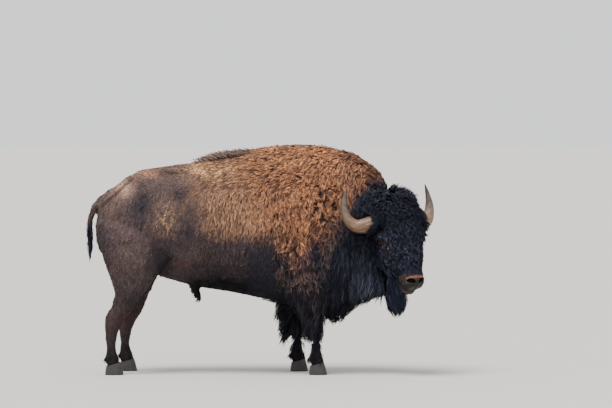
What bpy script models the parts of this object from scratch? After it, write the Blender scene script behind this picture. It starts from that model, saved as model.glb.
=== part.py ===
"""An American bison bull, life size, standing with its head turned to its right.

The animal is modelled whole: lofts of rounded cross sections for the trunk with its neck, the head
and the legs are merged by a voxel remesh, smoothed and thinned out. Thin cuts then part it
into named nodes. Horns, eyes, ears, tail, beard and hooves are made one by one and seated in it.

Metres. +X is forward, +Y is the animal's left and +Z is up. The solids reach the tips of the coat.
"""

import math

import bmesh
import bpy
import numpy as np
from mathutils import Matrix, Vector

# Driving sizes
CUT_GAP = 0.0008  # between two nodes that a thin cut parts
SEAT_GAP = 0.0003  # round a piece that is seated in another
VOXEL = 0.012
RING_POINTS = 32
WHOLE_TRIANGLES = 2500  # of the trunk, head and legs before they are parted

# The head's own frame: its place, and its directions along the face, out of the forehead and to its right
HEAD_ORIGIN = Vector((1.046, -0.270, 1.175))  # midway between the roots of the horns
HEAD_YAW = math.radians(60)  # turned to the right, towards -Y
FACE_SLOPE = math.radians(26.5)  # the face's line from the vertical
HEAD_ROLL = math.radians(2.4)  # the right side hangs lower

# Colours of the nodes' plain materials: base colour, roughness
COLOURS = {
    "coat_rust": ((0.30, 0.16, 0.08, 1), 0.9),
    "coat_brown": ((0.12, 0.085, 0.07, 1), 0.85),
    "coat_black": ((0.022, 0.020, 0.024, 1), 0.9),
    "horn": ((0.42, 0.33, 0.24, 1), 0.45),
    "hoof": ((0.05, 0.045, 0.04, 1), 0.5),
    "eye": ((0.02, 0.012, 0.008, 1), 0.1),
}


# Tools


def clear_scene():
    for obj in list(bpy.data.objects):
        bpy.data.objects.remove(obj)


def material(slot):
    found = bpy.data.materials.get(slot)
    if found:
        return found
    made = bpy.data.materials.new(slot)
    made.use_nodes = True
    shader = made.node_tree.nodes["Principled BSDF"]
    shader.inputs["Base Color"].default_value, shader.inputs["Roughness"].default_value = COLOURS[slot]
    return made


def new_object(name, bm, slot=None):
    """A mesh of triangles, so that a copy of it is faceted the same way."""
    bmesh.ops.triangulate(bm, faces=bm.faces)
    bmesh.ops.recalc_face_normals(bm, faces=bm.faces)
    mesh = bpy.data.meshes.new(name)
    bm.to_mesh(mesh)
    bm.free()
    obj = bpy.data.objects.new(name, mesh)
    bpy.context.scene.collection.objects.link(obj)
    if slot:
        mesh.materials.append(material(slot))
    return obj


def loft(name, rings, slot=None):
    """A closed skin over rings of the same number of points."""
    bm = bmesh.new()
    rows = [[bm.verts.new(p) for p in ring] for ring in rings]
    for low, high in zip(rows, rows[1:]):
        for i in range(len(low)):
            j = (i + 1) % len(low)
            bm.faces.new((low[i], low[j], high[j], high[i]))
    for end in (rows[0], rows[-1]):
        centre = bm.verts.new(sum((v.co for v in end), Vector()) / len(end))
        for i in range(len(end)):
            bm.faces.new((end[i], end[(i + 1) % len(end)], centre))
    return new_object(name, bm, slot)


def smooth_rows(rows, steps):
    """Rows of numbers with steps rows for each one given, on a Catmull-Rom curve through them all."""
    rows = np.array(rows, float)
    padded = np.vstack([2 * rows[0] - rows[1], rows, 2 * rows[-1] - rows[-2]])
    made = []
    for i in range(1, len(padded) - 2):
        a, b, c, d = padded[i - 1 : i + 3]
        for t in np.arange(steps) / steps:
            bend = (2 * a - 5 * b + 4 * c - d) * t**2 + (3 * b - a - 3 * c + d) * t**3
            made.append(0.5 * (2 * b + (c - a) * t + bend))
    made.append(rows[-1])
    return made


def rounded(turn, power):
    """Cosine and sine of a turn on a superellipse: power 2 is an ellipse, more is boxy, less is pointed."""
    c, s = math.cos(turn), math.sin(turn)
    return math.copysign(abs(c) ** (2 / power), c), math.copysign(abs(s) ** (2 / power), s)


def turns(count=RING_POINTS):
    return [2 * math.pi * i / count for i in range(count)]


def ball(name, centre, radii, axes=None, segments=24):
    """An ellipsoid with its radii along the given axes, or along X, Y and Z."""
    bm = bmesh.new()
    bmesh.ops.create_uvsphere(bm, u_segments=segments, v_segments=segments * 2 // 3, radius=1)
    turn = Matrix(axes).transposed() if axes else Matrix.Identity(3)
    place = Matrix.Translation(centre) @ turn.to_4x4() @ Matrix.Diagonal((*radii, 1))
    bmesh.ops.transform(bm, matrix=place, verts=bm.verts)
    return new_object(name, bm)


def tube(name, path, slot=None, flat=1.0, points=12, steps=2):
    """A round bar along rows of x, y, z and radius. Flat is its depth over its width."""
    rows = smooth_rows(path, steps)
    centres = [Vector(row[:3]) for row in rows]
    rings = []
    side = Vector((0, 1, 0))
    for i, row in enumerate(rows):
        along = (centres[min(i + 1, len(rows) - 1)] - centres[max(i - 1, 0)]).normalized()
        side = (side - along * side.dot(along)).normalized()
        up = along.cross(side)
        radius = max(row[3], 0.001)
        rings.append(
            [
                centres[i] + side * radius * math.cos(t) + up * radius * flat * math.sin(t)
                for t in turns(points)
            ]
        )
    return loft(name, rings, slot)


def use(obj, kind, **settings):
    """Adds a modifier and applies it."""
    modifier = obj.modifiers.new(kind, kind)
    for name, value in settings.items():
        setattr(modifier, name, value)
    with bpy.context.temp_override(object=obj, active_object=obj, selected_objects=[obj]):
        bpy.ops.object.modifier_apply(modifier=modifier.name)


def merged(name, parts):
    """The parts' meshes in one object."""
    bm = bmesh.new()
    for part in parts:
        bm.from_mesh(part.data)
        bpy.data.objects.remove(part)
    return new_object(name, bm)


def swollen(obj, by):
    """A copy of a solid, larger by that much all round."""
    bm = bmesh.new()
    bm.from_mesh(obj.data)
    bm.normal_update()
    for vert in bm.verts:
        vert.co += vert.normal * by * vert.calc_shell_factor()
    return new_object(obj.name + "_room", bm)


def seat(guest, *hosts):
    """Cuts room for the guest into its hosts, with a small gap all round."""
    room = swollen(guest, SEAT_GAP)
    for host in hosts:
        use(host, "BOOLEAN", operation="DIFFERENCE", object=room, solver="EXACT")
    bpy.data.objects.remove(room)


def region(walls, grow):
    """A convex block within walls, each a point and the way it faces inwards, all moved out by grow."""
    bm = bmesh.new()
    bmesh.ops.create_cube(bm, size=8)
    for point, facing in walls:
        inwards = Vector(facing).normalized()
        geometry = [*bm.verts, *bm.edges, *bm.faces]
        place = Vector(point) - inwards * grow
        made = bmesh.ops.bisect_plane(bm, geom=geometry, plane_co=place, plane_no=inwards, clear_inner=True)
        rim = [item for item in made["geom_cut"] if isinstance(item, bmesh.types.BMEdge)]
        bmesh.ops.edgeloop_fill(bm, edges=rim)
    return new_object("region", bm)


def part_off(nodes, host, name, slot, *walls):
    """Cuts the part of a host within the walls off as a new node, with a thin gap to it."""
    host = nodes[host]
    node = host.copy()
    node.data = host.data.copy()
    node.name = name
    bpy.context.scene.collection.objects.link(node)
    for target, operation, grow in ((node, "INTERSECT", -CUT_GAP / 2), (host, "DIFFERENCE", CUT_GAP / 2)):
        cutter = region(walls, grow)
        use(target, "BOOLEAN", operation=operation, object=cutter, solver="EXACT")
        bpy.data.objects.remove(cutter)
    node.data.materials.clear()
    node.data.materials.append(material(slot))
    nodes[name] = node


# The trunk and neck

# Rows down the back from the rump to the head: x, y and heading of the section, then the height of the
# back, of the widest line and of the belly, half the width, and how boxy it is above and below
TRUNK = (
    (-1.268, 0.000, 0, 1.190, 1.110, 1.020, 0.040, 2.0, 2.0),
    (-1.225, 0.000, 0, 1.350, 1.150, 0.930, 0.130, 2.0, 2.0),
    (-1.120, 0.000, 0, 1.455, 1.170, 0.860, 0.200, 2.1, 2.0),
    (-0.950, 0.000, 0, 1.563, 1.180, 0.790, 0.246, 2.2, 2.0),
    (-0.750, 0.000, 0, 1.603, 1.130, 0.740, 0.274, 2.1, 2.0),
    (-0.500, 0.000, 0, 1.641, 1.090, 0.668, 0.306, 1.95, 2.1),
    (-0.250, 0.000, 0, 1.718, 1.060, 0.630, 0.328, 1.8, 2.2),
    (0.000, 0.000, 0, 1.757, 1.030, 0.580, 0.340, 1.65, 2.2),
    (0.250, 0.000, 0, 1.779, 1.020, 0.530, 0.348, 1.6, 2.1),
    (0.440, 0.000, 0, 1.770, 1.020, 0.480, 0.350, 1.6, 2.0),
    (0.610, -0.010, 8, 1.740, 1.020, 0.405, 0.330, 1.65, 1.9),
    (0.750, -0.050, 22, 1.695, 1.030, 0.480, 0.300, 1.75, 1.9),
    (0.870, -0.125, 38, 1.600, 1.040, 0.575, 0.255, 1.9, 1.9),
    (0.960, -0.215, 52, 1.440, 1.040, 0.640, 0.220, 2.0, 2.0),
)


def trunk():
    rings = []
    for x, y, heading, back, widest, belly, half_width, power_up, power_down in smooth_rows(TRUNK, 4):
        heading = math.radians(heading)
        sideways = Vector((math.sin(heading), math.cos(heading), 0))
        ring = []
        for turn in turns():
            above = math.sin(turn) >= 0
            c, s = rounded(turn, power_up if above else power_down)
            height = (back - widest) if above else (widest - belly)
            ring.append(Vector((x, y, widest + s * height)) + sideways * c * half_width)
        rings.append(ring)
    return loft("trunk", rings)


# The head, in its own frame

ROLLED = Matrix.Rotation(HEAD_ROLL, 3, Vector((math.cos(HEAD_YAW), -math.sin(HEAD_YAW), 0)))
AHEAD = Vector((math.cos(HEAD_YAW), -math.sin(HEAD_YAW), 0))
RIGHT = ROLLED @ Vector((-math.sin(HEAD_YAW), -math.cos(HEAD_YAW), 0))
UPRIGHT = AHEAD.cross(-RIGHT)
ALONG_FACE = AHEAD * math.sin(FACE_SLOPE) - UPRIGHT * math.cos(FACE_SLOPE)
OUT_OF_FACE = AHEAD * math.cos(FACE_SLOPE) + UPRIGHT * math.sin(FACE_SLOPE)
HEAD_AXES = (ALONG_FACE, OUT_OF_FACE, RIGHT)

# Rows from the crown to the lips: way along the face, how far the section stands out to the forehead and
# back to the throat, half its width, and how boxy it is in front and behind
SKULL = (
    (-0.262, 0.050, -0.060, 0.060, 2.0, 2.0),
    (-0.235, 0.125, -0.120, 0.145, 2.1, 2.0),
    (-0.150, 0.185, -0.180, 0.205, 2.2, 2.0),
    (-0.040, 0.200, -0.205, 0.226, 2.2, 2.0),
    (0.050, 0.180, -0.210, 0.212, 2.2, 2.0),
    (0.130, 0.145, -0.205, 0.190, 2.2, 2.0),
    (0.220, 0.118, -0.185, 0.165, 2.2, 2.0),
    (0.320, 0.095, -0.145, 0.137, 2.3, 2.1),
    (0.410, 0.074, -0.110, 0.100, 2.4, 2.2),
    (0.480, 0.060, -0.086, 0.094, 2.5, 2.3),
    (0.525, 0.042, -0.070, 0.086, 2.4, 2.3),
    (0.550, 0.012, -0.050, 0.056, 2.2, 2.2),
)
JAW = (
    (0.010, -0.120, -0.250, 0.095, 2.0, 2.0),
    (0.080, -0.110, -0.275, 0.118, 2.0, 2.0),
    (0.180, -0.100, -0.255, 0.112, 2.0, 2.0),
    (0.300, -0.085, -0.205, 0.088, 2.0, 2.1),
    (0.400, -0.070, -0.165, 0.074, 2.0, 2.2),
    (0.470, -0.062, -0.152, 0.070, 2.0, 2.2),
    (0.525, -0.066, -0.148, 0.062, 2.0, 2.2),
    (0.555, -0.084, -0.132, 0.040, 2.0, 2.0),
)
EYE_PLACE = (0.153, 0.004, 0.163)
EYE_RADIUS = 0.021
NOSTRIL_PLACE = (0.512, 0.006, 0.050)


def in_head(along, out, right):
    """A point given in the head's own frame."""
    return HEAD_ORIGIN + ALONG_FACE * along + OUT_OF_FACE * out + RIGHT * right


def face_rings(rows, steps=4):
    rings = []
    for along, front, back, half_width, power_front, power_back in smooth_rows(rows, steps):
        middle = (front + back) / 2
        ring = []
        for turn in turns():
            c, s = rounded(turn, power_front if math.sin(turn) >= 0 else power_back)
            ring.append(in_head(along, middle + s * (front - back) / 2, c * half_width))
        rings.append(ring)
    return rings


def head_masses():
    """The head's parts that the remesh merges, with the bulges of brow, cheek and nostril."""
    parts = [loft("skull", face_rings(SKULL)), loft("jaw", face_rings(JAW))]
    for side in (1, -1):
        along, out, right = EYE_PLACE
        brow = in_head(along - 0.025, out + 0.012, side * right)
        parts.append(ball("brow", brow, (0.055, 0.042, 0.042), HEAD_AXES))
        parts.append(ball("cheek", in_head(0.190, -0.110, side * 0.085), (0.150, 0.105, 0.062), HEAD_AXES))
        along, out, right = NOSTRIL_PLACE
        parts.append(ball("nostril", in_head(along, out, side * right), (0.030, 0.034, 0.036), HEAD_AXES))
    parts.append(ball("lips", in_head(0.500, -0.070, 0), (0.048, 0.040, 0.070), HEAD_AXES))
    return parts


# The legs

# Rows down a leg: height, how far the section reaches behind and in front of the hoof's middle, how far it
# lies from the animal's middle, half its width, and half its width behind, where the tendons are
HIND_LEG = (
    (1.180, -0.130, 0.330, 0.100, 0.120, 0.100),
    (1.050, -0.122, 0.385, 0.130, 0.142, 0.120),
    (0.920, -0.090, 0.372, 0.150, 0.145, 0.118),
    (0.800, -0.045, 0.352, 0.165, 0.132, 0.104),
    (0.700, -0.010, 0.300, 0.178, 0.108, 0.082),
    (0.610, 0.006, 0.232, 0.186, 0.084, 0.058),
    (0.530, -0.015, 0.178, 0.190, 0.064, 0.034),
    (0.450, -0.062, 0.125, 0.190, 0.056, 0.034),
    (0.395, -0.072, 0.085, 0.190, 0.053, 0.040),
    (0.330, -0.066, 0.050, 0.190, 0.045, 0.038),
    (0.250, -0.056, 0.030, 0.190, 0.036, 0.035),
    (0.185, -0.055, 0.030, 0.190, 0.038, 0.038),
    (0.145, -0.058, 0.042, 0.190, 0.047, 0.046),
    (0.105, -0.048, 0.048, 0.190, 0.045, 0.042),
    (0.070, -0.052, 0.062, 0.190, 0.050, 0.044),
)
FORE_LEG = (
    (1.100, -0.200, 0.200, 0.190, 0.150, 0.150),
    (0.950, -0.270, 0.220, 0.205, 0.148, 0.145),
    (0.820, -0.260, 0.200, 0.205, 0.140, 0.138),
    (0.700, -0.235, 0.155, 0.195, 0.132, 0.130),
    (0.600, -0.215, 0.115, 0.185, 0.120, 0.120),
    (0.500, -0.200, 0.095, 0.180, 0.112, 0.112),
    (0.400, -0.198, 0.085, 0.178, 0.108, 0.108),
    (0.330, -0.192, 0.078, 0.178, 0.102, 0.102),
    (0.285, -0.158, 0.066, 0.178, 0.086, 0.086),
    (0.262, -0.060, 0.044, 0.178, 0.046, 0.044),
    (0.230, -0.045, 0.036, 0.178, 0.039, 0.038),
    (0.185, -0.045, 0.034, 0.178, 0.041, 0.040),
    (0.145, -0.050, 0.044, 0.178, 0.052, 0.050),
    (0.105, -0.044, 0.050, 0.178, 0.050, 0.047),
    (0.070, -0.050, 0.066, 0.178, 0.055, 0.048),
)
# Where each leg stands: its rows, the x of its hoof's middle, and its side
LEGS = {
    "hind_right": (HIND_LEG, -1.128, -1),
    "hind_left": (HIND_LEG, -1.045, 1),
    "fore_right": (FORE_LEG, 0.438, -1),
    "fore_left": (FORE_LEG, 0.292, 1),
}


def leg(name):
    """A leg from the trunk to below the coronet. Its upper end keeps its place on the trunk whatever the
    hoof's: the shift fades out with height."""
    rows, hoof_x, side = LEGS[name]
    hip_x = -1.128 if rows is HIND_LEG else 0.400
    rings = []
    for height, behind, front, out, half_width, half_width_behind in smooth_rows(rows, 3):
        share = min(max((height - 0.35) / 0.45, 0), 1)
        share = share * share * (3 - 2 * share)
        middle = hip_x * share + hoof_x * (1 - share)
        centre, reach = middle + (front + behind) / 2, (front - behind) / 2
        ring = []
        for turn in turns():
            c, s = rounded(turn, 2.1)
            lateral = half_width if c > 0 else half_width + (half_width_behind - half_width) * -c
            ring.append(Vector((centre + c * reach, side * (out + s * lateral), height)))
        rings.append(ring)
    return loft(name, rings)


# Hooves

HOOF_SLOPE = 0.30  # the coronet's fall from front to back
CORONET_HEIGHT = 0.083  # at the hoof's middle
CLAW_GAP = 0.007
# Rows up a claw: share of its height, how far it reaches behind and in front of the middle, and its width
CLAW = (
    (0.00, -0.056, 0.080, 0.058),
    (0.12, -0.058, 0.079, 0.059),
    (0.55, -0.055, 0.068, 0.055),
    (1.00, -0.050, 0.054, 0.050),
)


def claw(name, centre, side):
    """One of a hoof's two claws: a flat sole, a flat inner wall and a toe that curves in."""
    rings = []
    for share, behind, front, width in CLAW:
        ring = []
        for turn in turns(12):
            c, s = rounded(turn, 2.3)
            x = (front + behind) / 2 + c * (front - behind) / 2
            toe = max((x - 0.02) / 0.06, 0)
            outer = width * (1 - 0.28 * toe * toe)
            inner = CLAW_GAP / 2 + 0.004 * max(-x / 0.05, 0)
            y = inner + (s + 1) / 2 * (outer - inner)
            top = CORONET_HEIGHT + HOOF_SLOPE * x - CUT_GAP
            ring.append(Vector((centre[0] + x, centre[1] + side * y, max(share, 0) * top)))
        rings.append(ring)
    return loft(name, rings, "hoof")


def dewclaw(centre, side):
    """A small blunt horn behind the pastern."""
    x, y = centre[0] - 0.048, centre[1] + side * 0.022
    path = (
        (x + 0.020, y, 0.140, 0.010),
        (x, y + side * 0.002, 0.130, 0.014),
        (x - 0.014, y + side * 0.003, 0.112, 0.011),
        (x - 0.018, y + side * 0.003, 0.100, 0.004),
    )
    return tube("dewclaw", path, points=6, steps=1)


# Pieces that are seated in the body


# Rows along a horn in the head's frame: out to the side, back, up, and its radius
HORN = (
    (0.140, -0.003, 0.013, 0.066),
    (0.180, 0.008, 0.008, 0.069),
    (0.240, 0.035, -0.012, 0.066),
    (0.310, 0.075, -0.014, 0.054),
    (0.362, 0.106, 0.034, 0.043),
    (0.383, 0.124, 0.112, 0.032),
    (0.375, 0.132, 0.195, 0.020),
    (0.352, 0.130, 0.272, 0.004),
)


def horn(name, side):
    path = []
    for out, back, up, radius in HORN:
        place = HEAD_ORIGIN + RIGHT * side * out - AHEAD * back + UPRIGHT * up
        path.append((*place, radius))
    return tube(name, path, "horn", flat=0.92, points=10, steps=2)


def ear(name, side):
    """A leaf that opens forwards, its root inside the head."""
    root = in_head(0.045, -0.085, side * 0.150)
    along = (RIGHT * side * 0.86 - AHEAD * 0.46 - UPRIGHT * 0.20).normalized()
    across = (UPRIGHT - along * UPRIGHT.dot(along)).normalized()
    thick = along.cross(across)
    # Rows out along the ear: way, half its height, half its thickness
    rows = ((0.05, 0.030, 0.020), (0.11, 0.044, 0.018), (0.165, 0.036, 0.014), (0.210, 0.006, 0.004))
    rings = []
    for way, half_height, half_thick in smooth_rows(rows, 2):
        centre = root + along * way
        rings.append(
            [
                centre + across * half_height * math.cos(t) + thick * half_thick * math.sin(t)
                for t in turns(8)
            ]
        )
    return loft(name, rings, "coat_black")


def tail():
    """The dock and the tuft that hangs from it, in one."""
    path = (
        (-1.080, 0.0, 1.420, 0.040),
        (-1.150, 0.0, 1.395, 0.038),
        (-1.222, 0.0, 1.345, 0.033),
        (-1.280, 0.0, 1.280, 0.028),
        (-1.311, 0.0, 1.200, 0.023),
        (-1.317, 0.0, 1.120, 0.021),
        (-1.316, 0.0, 1.060, 0.023),
        (-1.317, 0.0, 0.990, 0.024),
        (-1.321, 0.0, 0.930, 0.020),
        (-1.329, 0.0, 0.880, 0.011),
        (-1.338, 0.0, 0.845, 0.004),
    )
    return tube("tail", path, "coat_brown", points=10, steps=1)


def beard():
    """Hangs straight down from the chin, whatever the head's slope."""
    x, y, z = in_head(0.365, -0.150, 0)
    path = (
        (x - 0.014, y, z + 0.010, 0.060),
        (x - 0.023, y, 0.640, 0.086),
        (x - 0.028, y, 0.575, 0.087),
        (x - 0.028, y, 0.510, 0.076),
        (x - 0.028, y, 0.460, 0.045),
        (x - 0.022, y, 0.434, 0.010),
    )
    return tube("beard", path, "coat_black", flat=0.80, steps=1)


def sheath():
    path = (
        (-0.530, 0.0, 0.690, 0.030),
        (-0.500, 0.0, 0.645, 0.036),
        (-0.478, 0.0, 0.600, 0.028),
        (-0.468, 0.0, 0.565, 0.018),
        (-0.470, 0.0, 0.545, 0.005),
    )
    return tube("sheath", path, "coat_black", points=10, steps=1)


def scrotum():
    path = (
        (-0.880, 0.0, 0.830, 0.030),
        (-0.880, 0.0, 0.770, 0.040),
        (-0.880, 0.0, 0.700, 0.055),
        (-0.878, 0.0, 0.650, 0.045),
        (-0.876, 0.0, 0.618, 0.010),
    )
    return tube("scrotum", path, "coat_brown", steps=1)


# Putting it together


def whole_body():
    """Trunk, head and legs as one smooth body. The head and feet keep more of their triangles."""
    body = merged("body", [trunk(), *head_masses(), *(leg(name) for name in LEGS)])
    use(body, "REMESH", mode="VOXEL", voxel_size=VOXEL, adaptivity=0)
    use(body, "SMOOTH", factor=0.5, iterations=6)
    plain = body.vertex_groups.new(name="plain")
    for vert in body.data.vertices:
        in_face = (vert.co - HEAD_ORIGIN).dot(AHEAD) > -0.15 and vert.co.z > 0.5
        weight = 0.7 if in_face or vert.co.z < 0.55 else 1.0
        plain.add([vert.index], weight, "REPLACE")
    faces = sum(len(p.vertices) - 2 for p in body.data.polygons)
    use(
        body,
        "DECIMATE",
        ratio=WHOLE_TRIANGLES / faces,
        use_collapse_triangulate=True,
        vertex_group="plain",
        vertex_group_factor=1.0,
    )
    return body


def part_body(body):
    """Parts the whole body into its named nodes with thin cuts."""
    body.name = "shoulders"
    body.data.materials.append(material("coat_rust"))
    nodes = {"shoulders": body}
    nape = (HEAD_ORIGIN - AHEAD * 0.165, AHEAD)
    part_off(nodes, "shoulders", "head", "coat_black", nape, (HEAD_ORIGIN + RIGHT * 0.31, -RIGHT))
    part_off(nodes, "shoulders", "neck", "coat_black", ((0.600, 0, 1), (1, -0.10, 0)))
    part_off(nodes, "shoulders", "rump", "coat_brown", ((-0.580, 0, 1), (-1, 0, 0)))
    part_off(nodes, "shoulders", "barrel", "coat_rust", ((0.030, 0, 1), (-1, 0, 0)))
    throat = (in_head(0.405, -0.185, 0), OUT_OF_FACE)
    part_off(nodes, "head", "muzzle", "coat_black", (in_head(0.405, 0, 0), ALONG_FACE), throat)
    mouth = ALONG_FACE * 0.17 - OUT_OF_FACE
    part_off(nodes, "muzzle", "chin", "coat_black", (in_head(0.500, -0.066, 0), mouth))
    jaw_line = mouth - ALONG_FACE * 0.22
    part_off(nodes, "head", "lower_jaw", "coat_black", (in_head(0.405, -0.083, 0), jaw_line))
    for name in LEGS:
        part_leg(nodes, *name.split("_"))
    return nodes


def part_leg(nodes, end, flank):
    rows, hoof_x, side = LEGS[f"{end}_{flank}"]
    cannon, pastern = f"{end}_cannon_{flank}", f"{end}_pastern_{flank}"
    middle = ((0, side * 0.010, 0), (0, side, 0))
    if end == "fore":
        upper = f"foreleg_{flank}"
        elbow = ((0.37, side * 0.2, 0.64), (0, side * 0.55, -0.83))
        part_off(nodes, "shoulders", upper, "coat_black", elbow, middle)
        part_off(nodes, upper, cannon, "coat_brown", ((hoof_x, 0, 0.272), (0, 0, -1)))
    else:
        upper, gaskin = f"thigh_{flank}", f"gaskin_{flank}"
        hip = ((-1, side * 0.17, 0.9), (-0.10, side * 0.60, -0.80))
        part_off(nodes, "rump", upper, "coat_brown", hip, middle)
        part_off(nodes, upper, gaskin, "coat_brown", ((-1.05, 0, 0.660), (-0.15, 0, -1)))
        part_off(nodes, gaskin, cannon, "coat_brown", ((hoof_x, 0, 0.405), (0.10, 0, -1)))
    part_off(nodes, cannon, pastern, "coat_brown", ((hoof_x, 0, 0.165), (0.10, 0, -1)))
    coronet = (hoof_x, side * rows[-1][3], CORONET_HEIGHT)
    part_off(nodes, pastern, "waste", "hoof", (coronet, (HOOF_SLOPE, 0, -1)))
    bpy.data.objects.remove(nodes.pop("waste"))


def add_feet(nodes):
    for name, (rows, hoof_x, side) in LEGS.items():
        end, flank = name.split("_")
        centre = (hoof_x, side * rows[-1][3])
        for where, out in (("inner", -side), ("outer", side)):
            claw(f"{end}_hoof_{flank}_{where}", centre, out)
            stub = dewclaw(centre, out)
            pastern = nodes[f"{end}_pastern_{flank}"]
            use(pastern, "BOOLEAN", operation="UNION", object=stub, solver="EXACT")
            bpy.data.objects.remove(stub)


def add_seated(nodes):
    for side, sign in (("right", 1), ("left", -1)):
        along, out, right = EYE_PLACE
        eye = ball(f"eye_{side}", in_head(along, out, sign * (right + 0.020)), (EYE_RADIUS,) * 3, segments=10)
        eye.data.materials.append(material("eye"))
        seat(eye, nodes["head"])
        seat(horn(f"horn_{side}", sign), nodes["head"], nodes["lower_jaw"], nodes["neck"])
        seat(ear(f"ear_{side}", sign), nodes["head"], nodes["lower_jaw"], nodes["neck"])
    nodes["tail"] = tail()
    seat(nodes["tail"], nodes["rump"])
    part_off(nodes, "tail", "tail_tuft", "coat_black", ((0, 0, 1.115), (0, 0, -1)))
    seat(beard(), nodes["lower_jaw"], nodes["chin"], nodes["head"], nodes["muzzle"])
    seat(sheath(), nodes["barrel"])
    seat(scrotum(), nodes["rump"], nodes["thigh_right"], nodes["thigh_left"])


def stand_at_origin():
    """Centres the animal's box over the origin. The soles are at z 0 already."""
    corners = np.array([tuple(v.co) for obj in bpy.data.objects for v in obj.data.vertices])
    middle = (corners.min(0) + corners.max(0)) / 2
    for obj in bpy.data.objects:
        obj.data.transform(Matrix.Translation((-middle[0], -middle[1], 0)))
        obj.data.shade_smooth()


def main():
    clear_scene()
    nodes = part_body(whole_body())
    add_feet(nodes)
    add_seated(nodes)
    stand_at_origin()


main()
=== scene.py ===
"""The looks of an American bison bull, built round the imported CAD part.

One skin replaces the nodes of flesh and lies inside them by the depth of the coat. Over it lie
locks of mesh strands, one piece for each region and side. Horns and eyes are finer meshes in the
places of their CAD nodes; hooves keep theirs. Skin and coat take their colour from the same functions.

Lengths are in metres. The animal faces +X, its left is +Y, and +Z is up.
"""

import math
from contextlib import contextmanager
from types import SimpleNamespace

import bmesh
import bpy
import numpy as np
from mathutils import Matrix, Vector, kdtree


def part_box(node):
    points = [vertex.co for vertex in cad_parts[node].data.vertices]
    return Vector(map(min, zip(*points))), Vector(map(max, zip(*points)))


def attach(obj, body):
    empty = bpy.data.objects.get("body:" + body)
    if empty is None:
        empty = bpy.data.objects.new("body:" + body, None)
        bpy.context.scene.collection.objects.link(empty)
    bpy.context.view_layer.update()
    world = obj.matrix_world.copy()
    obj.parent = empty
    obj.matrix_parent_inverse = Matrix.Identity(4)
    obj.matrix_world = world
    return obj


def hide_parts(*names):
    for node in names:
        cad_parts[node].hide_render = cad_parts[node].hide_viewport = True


SEED = 20
SKIN_VOXEL = 0.010
SWELL = 0.0015  # closes the thin cuts between the CAD nodes before they are joined
UV_NAME = "OFBake"
TUFT_PATCH = 0.003

# The head's frame: its directions down the face, out of the forehead and to the animal's right
HEAD_YAW = math.radians(60)
FACE_SLOPE = math.radians(26.5)
HEAD_ROLL = math.radians(2.4)
HEAD_DESIGN = np.array([1.046, -0.270, 1.175])  # midway between the horns' roots, in the part's own design
EYE_IN_HEAD = (0.153, 0.004)

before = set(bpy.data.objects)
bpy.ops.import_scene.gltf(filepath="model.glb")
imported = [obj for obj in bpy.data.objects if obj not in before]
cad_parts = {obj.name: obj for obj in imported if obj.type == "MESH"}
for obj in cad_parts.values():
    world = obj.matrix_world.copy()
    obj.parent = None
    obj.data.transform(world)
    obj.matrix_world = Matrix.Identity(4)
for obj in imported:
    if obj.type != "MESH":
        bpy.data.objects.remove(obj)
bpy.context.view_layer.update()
rng = np.random.default_rng(SEED)


# Small tools on arrays of points


def unit(v):
    return v / np.maximum(np.linalg.norm(v, axis=-1, keepdims=True), 1e-9)


def ramp(x, low, high):
    """0 below low, 1 above high, smooth between."""
    t = np.clip((x - low) / (high - low), 0, 1)
    return t * t * (3 - 2 * t)


def mix(a, b, share):
    share = np.asarray(share)[..., None] if np.ndim(share) else share
    return a + (b - a) * share


def wave(p, size, seed=0):
    """A smooth pattern from about -1 to 1 with features of about that size."""
    q = p / size * 2.2
    total = 0
    for i in range(4):
        a = [math.sin(seed + 1.7 * i), math.cos(seed * 1.3 + 2.9 * i), math.sin(seed * 2.1 + 4.3 * i + 1)]
        b = [math.cos(seed + 3.1 * i), math.sin(seed * 0.7 + 1.9 * i), math.cos(seed * 1.9 + 5.1 * i)]
        total = total + np.sin(q @ a * 1.3 + 2 * np.sin(q @ b) + seed + i)
    return total / 2.4


def bell(x, middle, reach):
    """1 at the middle, and 0.37 at its reach."""
    return np.exp(-(((x - middle) / reach) ** 2))


def away(p, place):
    """How far points are from a place."""
    return np.linalg.norm(p - place, axis=-1)


def flattened(v, n):
    """Directions laid down in the plane across n."""
    return unit(v - n * (v * n).sum(-1, keepdims=True))


def table(x, rows):
    """Reads y at x from rows of (x, y)."""
    rows = np.array(rows)
    return np.interp(x, rows[:, 0], rows[:, 1])


# Where things are

UP = np.array([0.0, 0.0, 1.0])
AHEAD = np.array([math.cos(HEAD_YAW), -math.sin(HEAD_YAW), 0.0])
level_right = np.array([-math.sin(HEAD_YAW), -math.cos(HEAD_YAW), 0.0])
RIGHT = level_right * math.cos(HEAD_ROLL) - UP * math.sin(HEAD_ROLL)
UPRIGHT = np.cross(AHEAD, -RIGHT)
ALONG = AHEAD * math.sin(FACE_SLOPE) - UPRIGHT * math.cos(FACE_SLOPE)
OUT = AHEAD * math.cos(FACE_SLOPE) + UPRIGHT * math.sin(FACE_SLOPE)
SIDES = (("right", 1), ("left", -1))


def corners(node):
    return (np.array(corner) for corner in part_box(node))


def within(p, node, margin_low, margin_high):
    """Whether points are in a node's box, made that much larger."""
    low, high = corners(node)
    return ((p > low - margin_low) & (p < high + margin_high)).all(-1)


eyes = {side: sum(corners(f"eye_{side}")) / 2 for side, _ in SIDES}
HEAD = (eyes["right"] + eyes["left"]) / 2 - ALONG * EYE_IN_HEAD[0] - OUT * EYE_IN_HEAD[1]
SHIFT = HEAD - HEAD_DESIGN  # from the part's own design to the frame


def design(p):
    """Points of the frame in the part's own design, where the regions are described."""
    return p - SHIFT


def in_head(p):
    """How far points lie down the face, out of the forehead and to the right of the head's middle."""
    q = p - HEAD
    return q @ ALONG, q @ OUT, q @ RIGHT


def on_head(along, out, right):
    return HEAD + ALONG * along + OUT * out + RIGHT * right


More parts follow.
